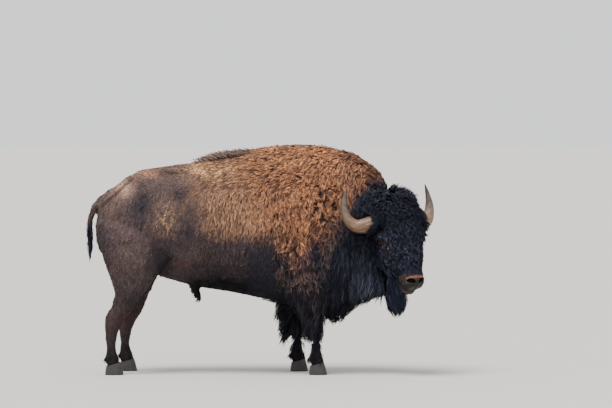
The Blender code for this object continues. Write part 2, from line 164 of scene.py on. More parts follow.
def on_ear(p):
    held = [within(p, f"ear_{side}", 0.004, 0.004) for side, _ in SIDES]
    return (held[0] | held[1]) & (np.abs(in_head(p)[2]) > 0.20)


def head_share(p):
    """1 on the head, 0 on the neck and trunk."""
    q = p - HEAD
    along, _, right = in_head(p)
    behind = ramp(q @ AHEAD + 0.25 * np.clip(along, 0, 1), -0.16, -0.08)
    return np.maximum(behind * ramp(-np.abs(right), -0.34, -0.27) * ramp(-along, -0.62, -0.60), on_ear(p))


def spot(q, x, z, reach_x, reach_z=None):
    """1 at a place on the trunk's side, seen square on, and 0.37 at its reach."""
    return np.exp(-(((q[:, 0] - x) / reach_x) ** 2) - ((q[:, 2] - z) / (reach_z or reach_x)) ** 2)


# Lines on the trunk's sides, as the x and z of their ends: under the tail's root, and before the thigh
TAIL_CREASE = ((-0.985, 1.500), (-1.215, 1.295))
FLANK_CREASE = ((-0.700, 0.900), (-0.790, 0.760))
TAIL_START = -1.235


def crease(q, line, reach):
    """1 on a line along the trunk's side, and 0.37 at its reach."""
    a, b = np.array(line)
    flat = q[:, (0, 2)] - a
    t = np.clip(flat @ (b - a) / ((b - a) @ (b - a)), 0, 1)
    from_line = np.linalg.norm(flat - t[:, None] * (b - a), axis=1)
    return np.exp(-((from_line / reach) ** 2))


# Colours, as linear reflectance


def srgb(r, g, b):
    c = np.array([r, g, b]) / 255
    return np.where(c <= 0.04045, c / 12.92, ((c + 0.055) / 1.055) ** 2.4)


RUST = srgb(149, 100, 71)
GOLD = srgb(150, 111, 85)
SUNLIT = srgb(168, 114, 78)
TAN = srgb(255, 197, 136)
# A pale pinkish colour that stands for the sheen on the tail's head: painted highlight
PAINTED_SHEEN = srgb(196, 158, 140)
EARTH = srgb(106, 86, 80)
UMBER = srgb(64, 54, 57)
SLATE = srgb(39, 39, 49)
DARK = srgb(24, 20, 23)
# The blue in these blacks is painted reflection of the sky on the dark hair, over the hair's own black
BLACK = srgb(24, 25, 36)
BLUE_BLACK = srgb(24, 26, 39)
# JAW_BLACK is the jaw's black hair, painted lighter to offset the shade on the underside of the head
JAW_BLACK = srgb(43, 46, 60)
# BELLY is the belly's dark hair, darkened further with painted shade under the body
BELLY = srgb(10, 10, 14)
REDDISH = srgb(104, 68, 56)
# ROOT is painted shade: the dark deep in the coat, at the wool's roots and on the skin under it
ROOT = srgb(40, 33, 36)
LID = srgb(42, 33, 34)
POUCH = srgb(60, 50, 55)
CHESTNUT = srgb(98, 66, 52)
NOSE = srgb(24, 18, 19)
NOSE_RIM = srgb(128, 92, 74)
FRINGE = srgb(110, 89, 82)

# The front edge of the rusty cape at each height, and the lower edge of its full colour at each x
CAPE_FRONT = (
    (0.60, 0.34), (0.80, 0.47), (0.95, 0.52), (1.08, 0.58), (1.20, 0.665), (1.30, 0.675),
    (1.40, 0.745), (1.48, 0.86), (1.56, 0.85), (1.64, 0.83), (1.70, 0.80), (1.78, 0.78),
)
CAPE_UNDER = (
    (-0.85, 1.24), (-0.60, 1.17), (-0.40, 1.125), (-0.15, 1.09), (0.02, 1.08), (0.085, 1.13),
    (0.14, 1.02), (0.24, 0.94), (0.36, 1.00), (0.43, 1.07), (0.50, 1.02), (0.70, 1.05),
)


def bare_patch(q):
    """The short dark hair behind the elbow."""
    return np.exp(-(((q[:, 0] - 0.03) / 0.12) ** 4) - ((q[:, 2] - 0.82) / 0.25) ** 4)


def nose_rim(p):
    """The pale edge above the nostrils: its own pale hair, lighter with painted highlight where light falls
    on the muzzle's top.
    """
    along, out, _ = in_head(p)
    return bell(along, 0.482, 0.011) * ramp(out, 0.020, 0.045) * head_share(p)


def painted(tone, *layers):
    """Lays colours over tone one after another, each with its share."""
    for colour, share in layers:
        tone = mix(tone, colour, share)
    return tone


def markings(p):
    """The colour of the hair's tips at points of the frame, on the skin or at a hair's root."""
    q = design(p)
    x, y, z = q.T
    rough = wave(q, 0.16, 1) * 0.45 + wave(q, 0.05, 4) * 0.55
    streak = wave(q * [1, 1, 0.22], 0.035, 9)
    folds = wave(q * [1, 1, 0.20], 0.030, 31) + 0.45 * wave(q * [1, 1, 0.5], 0.018, 33) + 0.25 * rough
    specks = 0.75 * wave(q * [1, 1, 1.3], 0.013, 27) + 0.5 * wave(q, 0.006, 35) + 0.3 * rough
    flakes = wave(q * [1, 1, 1.6], 0.022, 25)
    front = table(z, CAPE_FRONT) + 0.022 * rough
    under = table(x, CAPE_UNDER) + 0.035 * rough + 0.03 * streak
    plain = np.tile(UMBER, (len(p), 1))

    def at(*place):
        return spot(q, *place)

    cape = ramp(x + 0.07 * rough, -0.66, -0.30) * ramp(z, under - 0.10, under + 0.09)
    gold = painted(
        mix(GOLD, RUST, ramp(x + 0.4 * (z - 1.2), -0.25, 0.30)),
        (SUNLIT, 0.7 * ramp(z, 1.50, 1.68) * ramp(0.72 - x, 0, 0.2)),
        (UMBER, 0.85 * ramp(x, 0.40, 0.62) * ramp(1.33 - z, 0, 0.14)),
        (CHESTNUT, 0.65 * ramp(x, 0.58, 0.74) * ramp(z, 1.25, 1.40)),
    )
    creased = ramp(x, 0.08, 0.20) * ramp(0.66 - x, 0, 0.1) * (0.35 + 0.65 * ramp(1.30 - z, 0, 0.25))
    creased = creased * ramp(1.62 - z, 0, 0.1)
    tips = ramp(x, 0.10, 0.20) * ramp(z, 0.62, 0.95) * (1 - cape)
    tone = painted(
        plain,
        (EARTH, 0.55 * ramp(z + 0.05 * rough, 1.05, 1.35)),
        (EARTH, 0.5 * at(-0.98, 0.92, 0.16, 0.22)),
        (gold, cape * (0.88 + 0.12 * streak)),
        # Painted shade in the grooves where the coat of the shoulder and chest hangs in folds
        (UMBER * 0.6, 0.85 * creased * ramp(folds, 0.30, 0.75)),
        (REDDISH, 0.60 * tips * ramp(rough + streak, -0.6, 0.8)),
        (BLUE_BLACK, 0.92 * tips * ramp(folds, -0.20, 0.40)),
    )
    shade = 0.10 * wave(q, 0.10, 14) + 0.12 * wave(q * [1, 1, 0.15], 0.022, 12) * ramp(-x, -0.05, 0.20)
    tone = tone * np.exp(shade)[:, None]
    to_belly = ramp(0.16 - x, 0, 0.1)
    low = ramp(0.93 - z + 0.05 * rough + 0.02 * streak, 0, 0.12) * ramp(x, -0.60, -0.42) * to_belly
    belly = ramp(0.80 - z + 0.04 * rough, 0, 0.10) * ramp(x, -0.62, -0.45) * to_belly
    chest = ramp(x, 0.07, 0.15) * ramp(0.74 - z + 0.05 * rough, 0, 0.12) * ramp(0.75 - x, 0, 0.08)
    ridge = at(-0.29, 1.695, 0.22, 0.060) * ramp(0.17 - np.abs(y), 0, 0.06)
    tone = painted(
        tone,
        (SLATE, 0.9 * at(0.43, 0.99, 0.045, 0.06)),
        # The upper line and the hindquarters
        # The rump's top is lighter with painted highlight, where the light from above falls on it
        (EARTH * 1.6, 0.75 * at(-0.87, 1.550, 0.13, 0.040)),
        (SUNLIT * 1.25, 0.9 * at(-0.87, 1.550, 0.12, 0.035) * ramp(specks, -0.1, 0.4)),
        (DARK, 0.75 * at(-0.67, 1.555, 0.12, 0.022)),
        (TAN, 0.95 * at(-0.38, 1.575, 0.17, 0.050) * ramp(flakes, -0.05, 0.35)),
        # Painted sheen on the tail's head
        (PAINTED_SHEEN, 0.85 * at(-1.04, 1.435, 0.080, 0.060)),
        (EARTH * 1.1, 0.6 * at(-1.13, 1.30, 0.07, 0.10)),
        (SLATE, 0.92 * at(-0.895, 1.30, 0.09, 0.15)),
        (SLATE, 0.7 * at(-0.615, 1.39, 0.06, 0.05)),
        (EARTH, 0.5 * at(-0.74, 1.175, 0.13, 0.13)),
        (TAN * 0.58, 0.7 * np.sqrt(at(-0.71, 1.20, 0.060, 0.085)) * ramp(specks, 0.35, 0.95)),
        (SLATE, 0.55 * at(-0.53, 1.18, 0.08, 0.16)),
        (EARTH, 0.35 * at(-0.46, 0.95, 0.13, 0.10)),
        (SLATE, 0.65 * at(-0.76, 0.88, 0.07, 0.12)),
        (REDDISH, 0.35 * at(-0.60, 0.85, 0.06, 0.05)),
        (UMBER, 0.9 * ridge),
        # The underside, the front of the hump, the neck and the legs
        # Darker towards the underside: the belly's own dark hair, with painted shade under the body
        (DARK, 0.46 * low),
        (BELLY, belly),
        (SLATE * 0.8, 0.8 * bare_patch(q)),
        (mix(plain, CHESTNUT, ramp(z, 1.42, 1.52)), ramp(x, front - 0.06, front + 0.03)),
        (BLUE_BLACK, ramp(x, front, front + 0.07) * ramp(1.47 - z, 0, 0.06)),
        # Painted light on the neck behind the jaw: a lighter black that offsets the shade in the hollow
        # there
        (JAW_BLACK * [1.0, 0.95, 0.95], 0.9 * at(0.93, 0.90, 0.10, 0.10)),
        (DARK * [1.0, 1.0, 1.3], 0.65 * at(0.73, 0.70, 0.13, 0.16)),
        (BLACK, chest),
        (BLACK, ramp(0.66 - z, 0, 0.12) * ramp(x, -0.62, -0.5)),
        (UMBER * 0.85, 0.6 * at(0.41, 0.58, 0.11, 0.12)),
        (UMBER * 0.78, ramp(-x, 0.70, 0.85) * ramp(0.66 - z, 0, 0.14)),
        # A reddish tint on the back of the hock: painted light, where the light catches it
        (REDDISH, 0.12 * ramp(-x, 0.80, 0.95) * ramp(0.56 - z, 0, 0.08) * ramp(z, 0.25, 0.36)),
        (DARK, 0.8 * ramp(0.26 - z, 0, 0.10)),
        # Painted shade in the creases under the tail's root and before the thigh
        (DARK, 0.75 * crease(q, TAIL_CREASE, 0.016) + 0.6 * crease(q, FLANK_CREASE, 0.022)),
        (BLUE_BLACK, ramp(-x, 1.255, 1.275) * ramp(1.22 - z, 0, 0.14)),
    )
    return mix(tone, face_markings(p, rough), head_share(p))


def face_markings(p, rough):
    along, out, right = in_head(p)
    jaw = ramp(-out, 0.02, 0.09) * ramp(along, 0.10, 0.20) * (1 - 0.3 * ramp(along, 0.32, 0.38))
    # Painted light on the cheek: the face is lightened there to offset the shade between the jaw and the
    # mane
    cheek = ramp(-out, 0.03, 0.06) * ramp(0.11 + out, 0, 0.03) * ramp(along, 0.12, 0.20)
    cheek = cheek * ramp(0.40 - along, 0, 0.08)
    face = mix(mix(BLUE_BLACK, BLACK, ramp(rough, -0.5, 0.5)), JAW_BLACK, jaw) * (1 + 0.25 * cheek)[:, None]
    for eye in eyes.values():
        lid = np.exp(-((away(p, eye) / 0.034) ** 4))
        pouch = np.exp(-((away(p - eye - ALONG * 0.034, OUT * 0.012) / 0.040) ** 3))
        face = painted(face, (LID, 0.7 * lid), (POUCH, 0.65 * pouch))
    beside = ramp(along, 0.42, 0.46) * ramp(0.53 - along, 0, 0.03) * ramp(np.abs(right), 0.062, 0.085)
    beside = beside * ramp(out, -0.08, -0.05)
    lip = bell(out, -0.092, 0.007) * ramp(along, 0.48, 0.52)
    return painted(
        face,
        (NOSE, ramp(along, 0.46, 0.50) * ramp(out, -0.06, -0.02)),
        (NOSE_RIM * [0.25, 0.36, 0.50], 0.75 * beside),
        # The rim's pale colour holds painted highlight; the lip's is its own
        (NOSE_RIM, np.clip(nose_rim(p) + 0.7 * lip, 0, 1)),
    )


# Meshes


def read(items, field, width, kind=np.float32):
    """A field of every vertex, edge, loop or triangle, as rows of that width."""
    values = np.empty(len(items) * width, kind)
    items.foreach_get(field, values)
    return values.reshape(-1, width)


def coordinates(mesh):
    return read(mesh.vertices, "co", 3).astype(float)


def set_coordinates(mesh, points):
    mesh.vertices.foreach_set("co", points.astype(np.float32).ravel())
    mesh.update()


def vertex_normals(mesh):
    return read(mesh.vertex_normals, "vector", 3).astype(float)


def triangles(mesh):
    mesh.calc_loop_triangles()
    return read(mesh.loop_triangles, "vertices", 3, np.int32)


def shade_smooth(mesh):
    mesh.polygons.foreach_set("use_smooth", np.ones(len(mesh.polygons), bool))


@contextmanager
def edited(mesh):
    """Opens a mesh as a BMesh, and writes it back."""
    bm = bmesh.new()
    bm.from_mesh(mesh)
    yield bm
    bm.to_mesh(mesh)
    bm.free()


def new_object(name, data):
    obj = bpy.data.objects.new(name, data)
    bpy.context.scene.collection.objects.link(obj)
    return obj


def new_mesh_object(name, points, faces):
    """An object from points and an array of triangles or quads."""
    mesh = bpy.data.meshes.new(name)
    mesh.vertices.add(len(points))
    mesh.vertices.foreach_set("co", points.astype(np.float32).ravel())
    mesh.loops.add(faces.size)
    mesh.loops.foreach_set("vertex_index", faces.astype(np.int32).ravel())
    mesh.polygons.add(len(faces))
    mesh.polygons.foreach_set("loop_start", np.arange(0, faces.size, faces.shape[1], dtype=np.int32))
    mesh.update(calc_edges=True)
    mesh.validate()
    shade_smooth(mesh)
    return new_object(name, mesh)


def apply_modifier(obj, kind, **settings):
    modifier = obj.modifiers.new(kind, kind)
    for name, value in settings.items():
        setattr(modifier, name, value)
    with bpy.context.temp_override(object=obj, active_object=obj, selected_objects=[obj]):
        bpy.ops.object.modifier_apply(modifier=modifier.name)


def give_attribute(mesh, name, colours):
    attribute = mesh.attributes.new(name, "FLOAT_COLOR", "POINT")
    attribute.data.foreach_set("color", colours.astype(np.float32).ravel())


def relax(mesh, rounds, weight=1.0):
    """Smooths without shrinking: each step towards the neighbours' mean is followed by one back."""
    edges = read(mesh.edges, "vertices", 2, np.int32)
    a, b = edges.T
    p = coordinates(mesh)
    count = np.maximum(np.bincount(edges.ravel(), minlength=len(p)), 1)[:, None]
    weight = np.broadcast_to(np.asarray(weight, float), (len(p),))[:, None]
    for step in (0.60, -0.62) * rounds:
        total = [np.bincount(a, p[b, k], len(p)) + np.bincount(b, p[a, k], len(p)) for k in range(3)]
        p = p + (np.stack(total, -1) / count - p) * step * weight
    set_coordinates(mesh, p)


def refine(mesh, wanted):
    """Cuts each face that is wanted into four."""
    with edited(mesh) as bm:
        chosen = wanted(np.array([face.calc_center_median() for face in bm.faces]))
        edges = {edge for face, yes in zip(bm.faces, chosen) if yes for edge in face.edges}
        edges = sorted(edges, key=lambda edge: edge.index)
        bmesh.ops.subdivide_edges(bm, edges=edges, cuts=1, use_grid_fill=True)
    shade_smooth(mesh)


# The skin


def coat_depth(p):
    """How far the skin lies inside the tips of the coat."""
    q = design(p)
    x, _, z = q.T
    depth = 0.006 + 0.008 * ramp(x, -0.65, -0.30) * ramp(z, 0.75, 0.95)
    depth = depth + 0.016 * ramp(x, -0.15, 0.25) * ramp(z, 0.85, 1.05) * (1 - 0.6 * ramp(z, 1.42, 1.60))
    depth = depth + 0.022 * spot(q, -0.28, 1.72, 0.22, 0.06)
    depth = depth + 0.022 * ramp(x, 0.45, 0.75) * ramp(1.48 - z, 0, 0.16)
    depth = depth + 0.014 * ramp(x, 0.10, 0.30) * ramp(1.0 - z, 0, 0.2)
    depth = depth * (1 - 0.7 * bare_patch(q))
    along, out, _ = in_head(p)
    face = 0.040 - 0.028 * ramp(along, 0.02, 0.16) - 0.010 * ramp(along, 0.38, 0.46)
    face = face + 0.014 * ramp(-out, 0.10, 0.20) * ramp(0.40 - along, 0, 0.1)
    for eye in eyes.values():
        face = face * ramp(away(p, eye), 0.030, 0.065)
    depth = mix(depth[:, None], face[:, None], head_share(p))[:, 0]
    depth = np.where(on_ear(p), 0.005, depth)
    depth = np.where(x < TAIL_START, 0.0035, depth)
    return np.where(z < 0.30, 0.004 * ramp(z, 0.12, 0.20), depth)


HOOF_SPREAD = 0.178  # how far each fore hoof is from the animal's middle


def slim_forelegs(p):
    """Draws the long hair's outline on the forelegs in to the leg itself."""
    x, y, z = design(p).T
    for side, hoof_x in ((-1, 0.438), (1, 0.292)):
        share = ramp(0.60 - z, 0, 0.24) * ramp(z, 0.225, 0.255) * ramp(y * side, 0.02, 0.06)
        share = share * ramp(x, 0.0, 0.05)
        x = x + (hoof_x - x) * 0.50 * share
        y = y + (side * HOOF_SPREAD - y) * 0.38 * share
    return np.stack([x, y, z], -1) + SHIFT


# Where the short coat shows the body under it: (x, z) on the side, reach in x and z, and height
FORMS = (
    (-0.62, 1.42, 0.055, 0.055, 0.012),
    (-0.51, 1.30, 0.090, 0.130, -0.014),
    (-0.90, 1.30, 0.080, 0.140, -0.014),
    (-1.10, 1.30, 0.045, 0.060, 0.008),
    (-0.76, 1.12, 0.120, 0.110, 0.010),
    (-0.72, 0.86, 0.040, 0.100, -0.012),
    (-0.62, 0.84, 0.050, 0.080, 0.008),
    (-0.93, 0.86, 0.090, 0.160, 0.008),
    (-1.02, 0.60, 0.022, 0.090, -0.012),
    (0.04, 0.95, 0.050, 0.120, -0.010),
)
RIB_SPACING = 0.085
FOLD_SPACING = 0.035


def shape_body(p, n):
    """Hips, thighs, ribs, loose skin and folds."""
    q = design(p)
    x, _, z = q.T
    height = sum(high * spot(q, *place) for *place, high in FORMS)
    ribs = np.sin((x + 0.25 * (z - 1.1)) * 2 * math.pi / RIB_SPACING) * 0.0022
    ribs = ribs * ramp(x, -0.52, -0.40) * ramp(0.05 - x, 0, 0.1)
    ribs = ribs * ramp(1.45 - z, 0, 0.2) * ramp(z, 0.8, 0.95)
    folds = np.sin((z + 0.8 * x) * 2 * math.pi / FOLD_SPACING) * 0.0016 * spot(q, -1.02, 0.86, 0.09, 0.10)
    loose = ramp(x, -0.55, -0.40) * ramp(0.12 - x, 0, 0.1) * ramp(0.95 - z, 0, 0.15)
    height = height + ribs - 0.010 * crease(q, TAIL_CREASE, 0.014) - 0.007 * crease(q, FLANK_CREASE, 0.018)
    height = height + folds + 0.0035 * loose * wave(q * [1.0, 1.0, 1.8], 0.07, 17)
    lateral = ramp(np.abs(n[:, 1]), 0.25, 0.7) * (1 - head_share(p))
    return p + n * (height * lateral)[:, None]


def push(p, n, place, radii, height):
    """Raises, or sinks, the skin round a place in the head's frame."""
    q = p - on_head(*place)
    far = (q @ ALONG / radii[0]) ** 2 + (q @ OUT / radii[1]) ** 2 + (q @ RIGHT / radii[2]) ** 2
    return p + n * (height * np.exp(-far))[:, None]


# The face's forms in the head's frame: how far down it, out of it and to each side, the radii the same
# ways, and the height. They are the brow, the lower lid's fold, the hollows beside the nose's bridge and
# above the nostril, the nostril's wing, the lip and, in the middle, the bridge and the groove of the nose.
PAIRED_FORMS = (
    ((0.108, 0.026, 0.155), (0.030, 0.040, 0.045), 0.012),
    ((0.218, -0.016, 0.165), (0.075, 0.022, 0.050), 0.007),
    ((0.260, 0.060, 0.100), (0.090, 0.030, 0.030), -0.008),
    ((0.400, 0.000, 0.105), (0.070, 0.030, 0.040), -0.004),
    ((0.470, -0.030, 0.095), (0.045, 0.030, 0.040), 0.006),
    ((0.440, -0.110, 0.075), (0.060, 0.016, 0.040), 0.004),
)
MIDDLE_FORMS = (
    ((0.400, 0.080, 0), (0.060, 0.030, 0.030), 0.004),
    ((0.545, 0.000, 0), (0.030, 0.040, 0.006), -0.005),
)

# The nostril in the head's frame, and its half width and half height
NOSTRIL = (0.510, 0.050, 0.050)
NOSTRIL_SIZE = (0.034, 0.017)

inside_nostril = [0.0]  # how far each point of the skin lies in a nostril, from 0 to 1


def nostril_axes(side):
    """Where the nostril looks, across it and up it."""
    facing = unit(ALONG * 0.50 + OUT * 0.62 + RIGHT * side * 0.55)
    across = unit(unit(np.cross(UP, facing)) * side - UP * 0.25)
    across = unit(across - facing * (across @ facing))
    return facing, across, unit(np.cross(facing, across)) * side


def shape_face(p, n):
    for _, side in SIDES:
        for (along, out, right), radii, height in PAIRED_FORMS:
            p = push(p, n, (along, out, side * right), radii, height)
    for form in MIDDLE_FORMS:
        p = push(p, n, *form)
    along, out, _ = in_head(p)
    above_mouth = out - (-0.066 - 0.16 * (0.54 - along))
    groove = bell(above_mouth, 0, 0.0045) * ramp(along, 0.370, 0.400) * head_share(p)
    lip = bell(above_mouth, 0.012, 0.007) * ramp(along, 0.40, 0.46) * head_share(p)
    p = p - n * (0.009 * groove)[:, None] + n * (0.003 * lip)[:, None]
    for _, side in SIDES:
        p = open_nostril(p, side)
    return p


def open_nostril(p, side):
    facing, across, up = nostril_axes(side)
    middle = on_head(NOSTRIL[0], NOSTRIL[1], side * NOSTRIL[2])
    q = p - p[away(p, middle).argmin()]
    u, v, w = q @ across, q @ up, q @ facing
    u, v = u / NOSTRIL_SIZE[0], (v + 0.25 * u**2 / NOSTRIL_SIZE[0]) / NOSTRIL_SIZE[1]
    rho = np.hypot(u, v)
    here = ramp(w, -0.035, -0.015) * (rho < 3.5)
    inside_nostril[0] = np.maximum(inside_nostril[0], here * ramp(1.05 - rho, 0, 0.25))
    rim = bell(rho, 1.35, 0.32) * (0.6 + 0.4 * np.clip(v, -1, 1))
    inward = 0.030 * ramp(1.08 - rho, 0, 0.45)
    return p + facing * ((0.0045 * rim - inward) * here)[:, None]


LID_RADIUS = 0.0235
LID_HALF_LENGTH = 0.0185
LID_HALF_HEIGHT = 0.0082


def eye_axes(side):
    """Where the eye looks, along its opening towards the nose, and up across it."""
    looks = unit(RIGHT * side * 0.90 + AHEAD * 0.42 + UP * 0.04)
    long = ALONG * 0.78 + OUT * 0.62
    long = unit(long - looks * (long @ looks))
    return looks, long, unit(np.cross(looks, long)) * (-side)


def shape_eye(p, name, side):
    """Wraps lids round the eyeball and opens them."""
    looks, long, up = eye_axes(side)
    q = p - eyes[name]
    u, v, w = q @ long, q @ up, q @ looks
    near = (w > -0.03) & (np.hypot(u, v) < 0.055)
    edge = LID_HALF_HEIGHT * np.maximum(1 - (np.abs(u) / LID_HALF_LENGTH) ** 2.2, 0)
    between = np.abs(u) < LID_HALF_LENGTH
    inside = (np.abs(v) < edge - 0.0006) & between
    on_edge = near & ~inside & (np.abs(v) < edge + 0.0016) & between
    v = np.where(on_edge, np.sign(v) * edge, v)
    rho = np.hypot(u, v)
    dome = np.sqrt(np.maximum(LID_RADIUS**2 - rho**2, 0))
    lid = dome + 0.0022 * bell(np.abs(v), edge, 0.0028) * (v > 0)
    folded = w + (lid - w) * ramp(0.036 - rho, 0, 0.016)
    fold = np.cos((rho - 0.019) * 2 * math.pi / 0.0075)
    fold = fold * ramp(rho, 0.018, 0.022) * ramp(0.044 - rho, 0, 0.014)
    folded = np.where(inside, -0.008, folded + 0.0014 * fold)
    moved = long * u[:, None] + up * v[:, None] + looks * folded[:, None] + eyes[name]
    return np.where(near[:, None], moved, p)


# Nodes of long hair are drawn in to a core before they join the skin: scale and shift
HAIR_CORES = {
    "beard": ([0.35, 0.40, 0.55], [0, 0, 0.06]),
    "tail_tuft": ([0.55, 0.65, 0.85], [0.004, 0, 0.03]),
}


def make_skin(flesh):
    """One skin from the nodes of flesh: joined, smoothed, drawn in by the coat's depth, and sculpted."""
    points, faces, start = [], [], 0
    for name in flesh:
        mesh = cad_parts[name].data
        v, f = coordinates(mesh), triangles(mesh)
        corner = v[f]
        face_normals = np.cross(corner[:, 1] - corner[:, 0], corner[:, 2] - corner[:, 0])
        _, where = np.unique(v.round(5), axis=0, return_inverse=True)
        where = where.reshape(-1)
        total = np.zeros((where.max() + 1, 3))
        for k in range(3):
            np.add.at(total, where[f[:, k]], face_normals)
        if name in HAIR_CORES:
            scale, shift = HAIR_CORES[name]
            middle = (v.min(0) + v.max(0)) / 2
            v = middle + (v - middle) * scale + shift
        points.append(v + unit(total)[where] * SWELL)
        faces.append(f + start)
        start += len(v)
    skin = new_mesh_object("skin", np.concatenate(points), np.concatenate(faces))
    with edited(skin.data) as bm:
        bmesh.ops.remove_doubles(bm, verts=bm.verts, dist=1e-5)
    apply_modifier(skin, "REMESH", mode="VOXEL", voxel_size=SKIN_VOXEL, adaptivity=0)
    relax(skin.data, 16)
    p, n = coordinates(skin.data), vertex_normals(skin.data)
    set_coordinates(skin.data, p - n * coat_depth(p)[:, None])
    set_coordinates(skin.data, slim_forelegs(coordinates(skin.data)))
    relax(skin.data, 6)
    set_coordinates(skin.data, shape_body(coordinates(skin.data), vertex_normals(skin.data)))
    sculpt_head(skin.data)
    return skin


def near_eyes(p, reach):
    return np.min([away(p, eye) for eye in eyes.values()], 0) < reach


def sculpt_head(mesh):
    def face_zone(p):
        along, out, _ = in_head(p)
        return (head_share(p) > 0.5) & (along > 0.04) & (along < 0.6) & (out > -0.17)

    def muzzle_zone(p):
        return face_zone(p) & (in_head(p)[0] > 0.39)

    refine(mesh, face_zone)
    refine(mesh, lambda p: muzzle_zone(p) | near_eyes(p, 0.055))
    refine(mesh, lambda p: near_eyes(p, 0.040))
    relax(mesh, 4, face_zone(coordinates(mesh)))
    p = shape_face(coordinates(mesh), vertex_normals(mesh))
    for name, side in SIDES:
        p = shape_eye(p, name, side)
    set_coordinates(mesh, p)


# The coat


def sample_skin(skin):
    """Triangles of the skin, its points and normals, and the triangles' areas."""
    faces, p, n = triangles(skin.data), coordinates(skin.data), vertex_normals(skin.data)
    corner = p[faces]
    area = np.linalg.norm(np.cross(corner[:, 1] - corner[:, 0], corner[:, 2] - corner[:, 0]), axis=1) / 2
    return faces, p, n, area


TRIES = 2.2  # points drawn for each cell of the spacing, of which the first in a cell is kept


def scatter(surface, share, spacing):
    """Root points and normals about that far apart, as dense as share, from 0 to 1, says."""
    faces, p, n, area = surface
    weight = area * share(p[faces].mean(1))
    count = int(weight.sum() / spacing**2 * TRIES)
    pick = rng.choice(len(faces), count, p=weight / weight.sum())
    a, b = rng.random(count), rng.random(count)
    flip = a + b > 1
    a[flip], b[flip] = 1 - a[flip], 1 - b[flip]
    a, b = a[:, None], b[:, None]

    def at(corner):
        return corner[:, 0] * (1 - a - b) + corner[:, 1] * a + corner[:, 2] * b

    root, normal = at(p[faces[pick]]), unit(at(n[faces[pick]]))
    _, first = np.unique(np.floor(root / spacing).astype(np.int64), axis=0, return_index=True)
    first.sort()
    return root[first], normal[first]


def lie_of_coat(p, n):
    """The way the hair lies, along the skin."""
    x, _, z = design(p).T
    _, out, right = in_head(p)
    down_face = ALONG + RIGHT * (np.sign(right) * 0.45 * ramp(np.abs(right), 0.04, 0.15))[:, None]
    down_face = down_face - AHEAD * (0.4 * ramp(-out, 0.05, 0.2))[:, None]
    down_face = down_face - UP * (0.6 * ramp(-out, 0.0, 0.2))[:, None]
    elbow = ramp(0.72 - z, 0, 0.08) * ramp(z, 0.14, 0.22) * ramp(x, 0.02, 0.08) * ramp(0.30 - x, 0, 0.08)
    way = painted(
        np.tile([-0.45, 0.0, -0.85], (len(p), 1)),
        ([-0.12, 0, -1.0], ramp(x, -0.60, -0.35) * ramp(1.50 - z, 0, 0.15)),
        ([-0.95, 0, -0.40], ramp(z, 1.36, 1.54) * ramp(-x, -0.62, -0.20)),
        ([-0.9, 0, -0.2], ramp(z, 1.62, 1.70)),
        ([0.05, 0, -1.0], ramp(x, 0.62, 0.75) * ramp(1.5 - z, 0, 0.1)),
        ([-1.0, 0, 0.20], ramp(n[:, 0], 0.10, 0.40) * ramp(x, 0.45, 0.60) * ramp(z, 1.36, 1.46)),
        ([-0.12, 0, -1.0], ramp(0.72 - z, 0, 0.15)),
        ([-0.75, 0, -0.75], elbow),
        ([-0.85, 0, -0.5], ramp(0.78 - z, 0, 0.08) * ramp(0.05 - x, 0, 0.1) * ramp(x, -0.6, -0.45)),
        ([-0.5, 0, -0.85], ramp(-x, 1.02, 1.08) * ramp(z, 1.1, 1.2)),
        (down_face, head_share(p)),
        (RIGHT * np.sign(right)[:, None] + ALONG * 0.3, on_ear(p).astype(float)),
    )
    return flattened(way, n)


def turned(v, axis, angle):
    """Directions square to their axes, turned round them."""
    angle = np.asarray(angle)[:, None]
    return v * np.cos(angle) + np.cross(axis, v) * np.sin(angle)


def clumps(root, lie, spacing, stretch):
    """Which clump each root belongs to, and the clumps' middles. A clump is long the way the hair lies."""
    number, middles, found = np.zeros(len(root), int), [], 0
    upright = np.abs(lie[:, 2]) > np.abs(lie[:, 0])
    for axis, chosen in ((0, ~upright), (2, upright)):
        mine = np.flatnonzero(chosen)
        if not len(mine):
            continue
        squeeze = np.ones(3)
        squeeze[axis] = 1 / stretch
        stray = np.stack([wave(root[mine], 0.10, seed) for seed in (5, 6, 8)], -1)
        place = root[mine] * squeeze + stray * spacing * 0.5
        _, first = np.unique(np.floor(place / spacing).astype(np.int64), axis=0, return_index=True)
        first = np.sort(first)
        tree = kdtree.KDTree(len(first))
        for i, at in enumerate(place[first]):
            tree.insert(at, i)
        tree.balance()
        number[mine] = [found + tree.find(at)[1] for at in place]
        middles.append(root[mine][first])
        found += len(first)
    return number, np.concatenate(middles)


def chart(p, n, low, high):
    """Where points lie on an unwrap: six charts, one for each way the skin can face."""
    axis = np.abs(n).argmax(1)
    positive = n[np.arange(len(n)), axis] > 0
    q = (p - low) / np.maximum(high - low, 1e-6)
    u = np.choose(axis, (q[:, 1], q[:, 0], q[:, 0]))
    v = np.choose(axis, (q[:, 2], q[:, 2], q[:, 1]))
    return np.stack([(axis + 0.02 + 0.95 * u) / 3, (positive + 0.02 + 0.95 * v) / 2], -1)


coat_pieces = {}  # a list of groups of ribbons for each piece

# How much shorter the hair of each region is where it would hang clear of the body, and of the rest
HANGING = {"mane": 0.50, "chaps": 0.40, "jaw": 0.50, "short": 0.0}
HANGING_ELSE = 0.3

# How much lighter than the markings the tips are, where deep shade between the locks darkens the rest
TIP_GAIN = {"face": 1.75, "bonnet": 1.30}


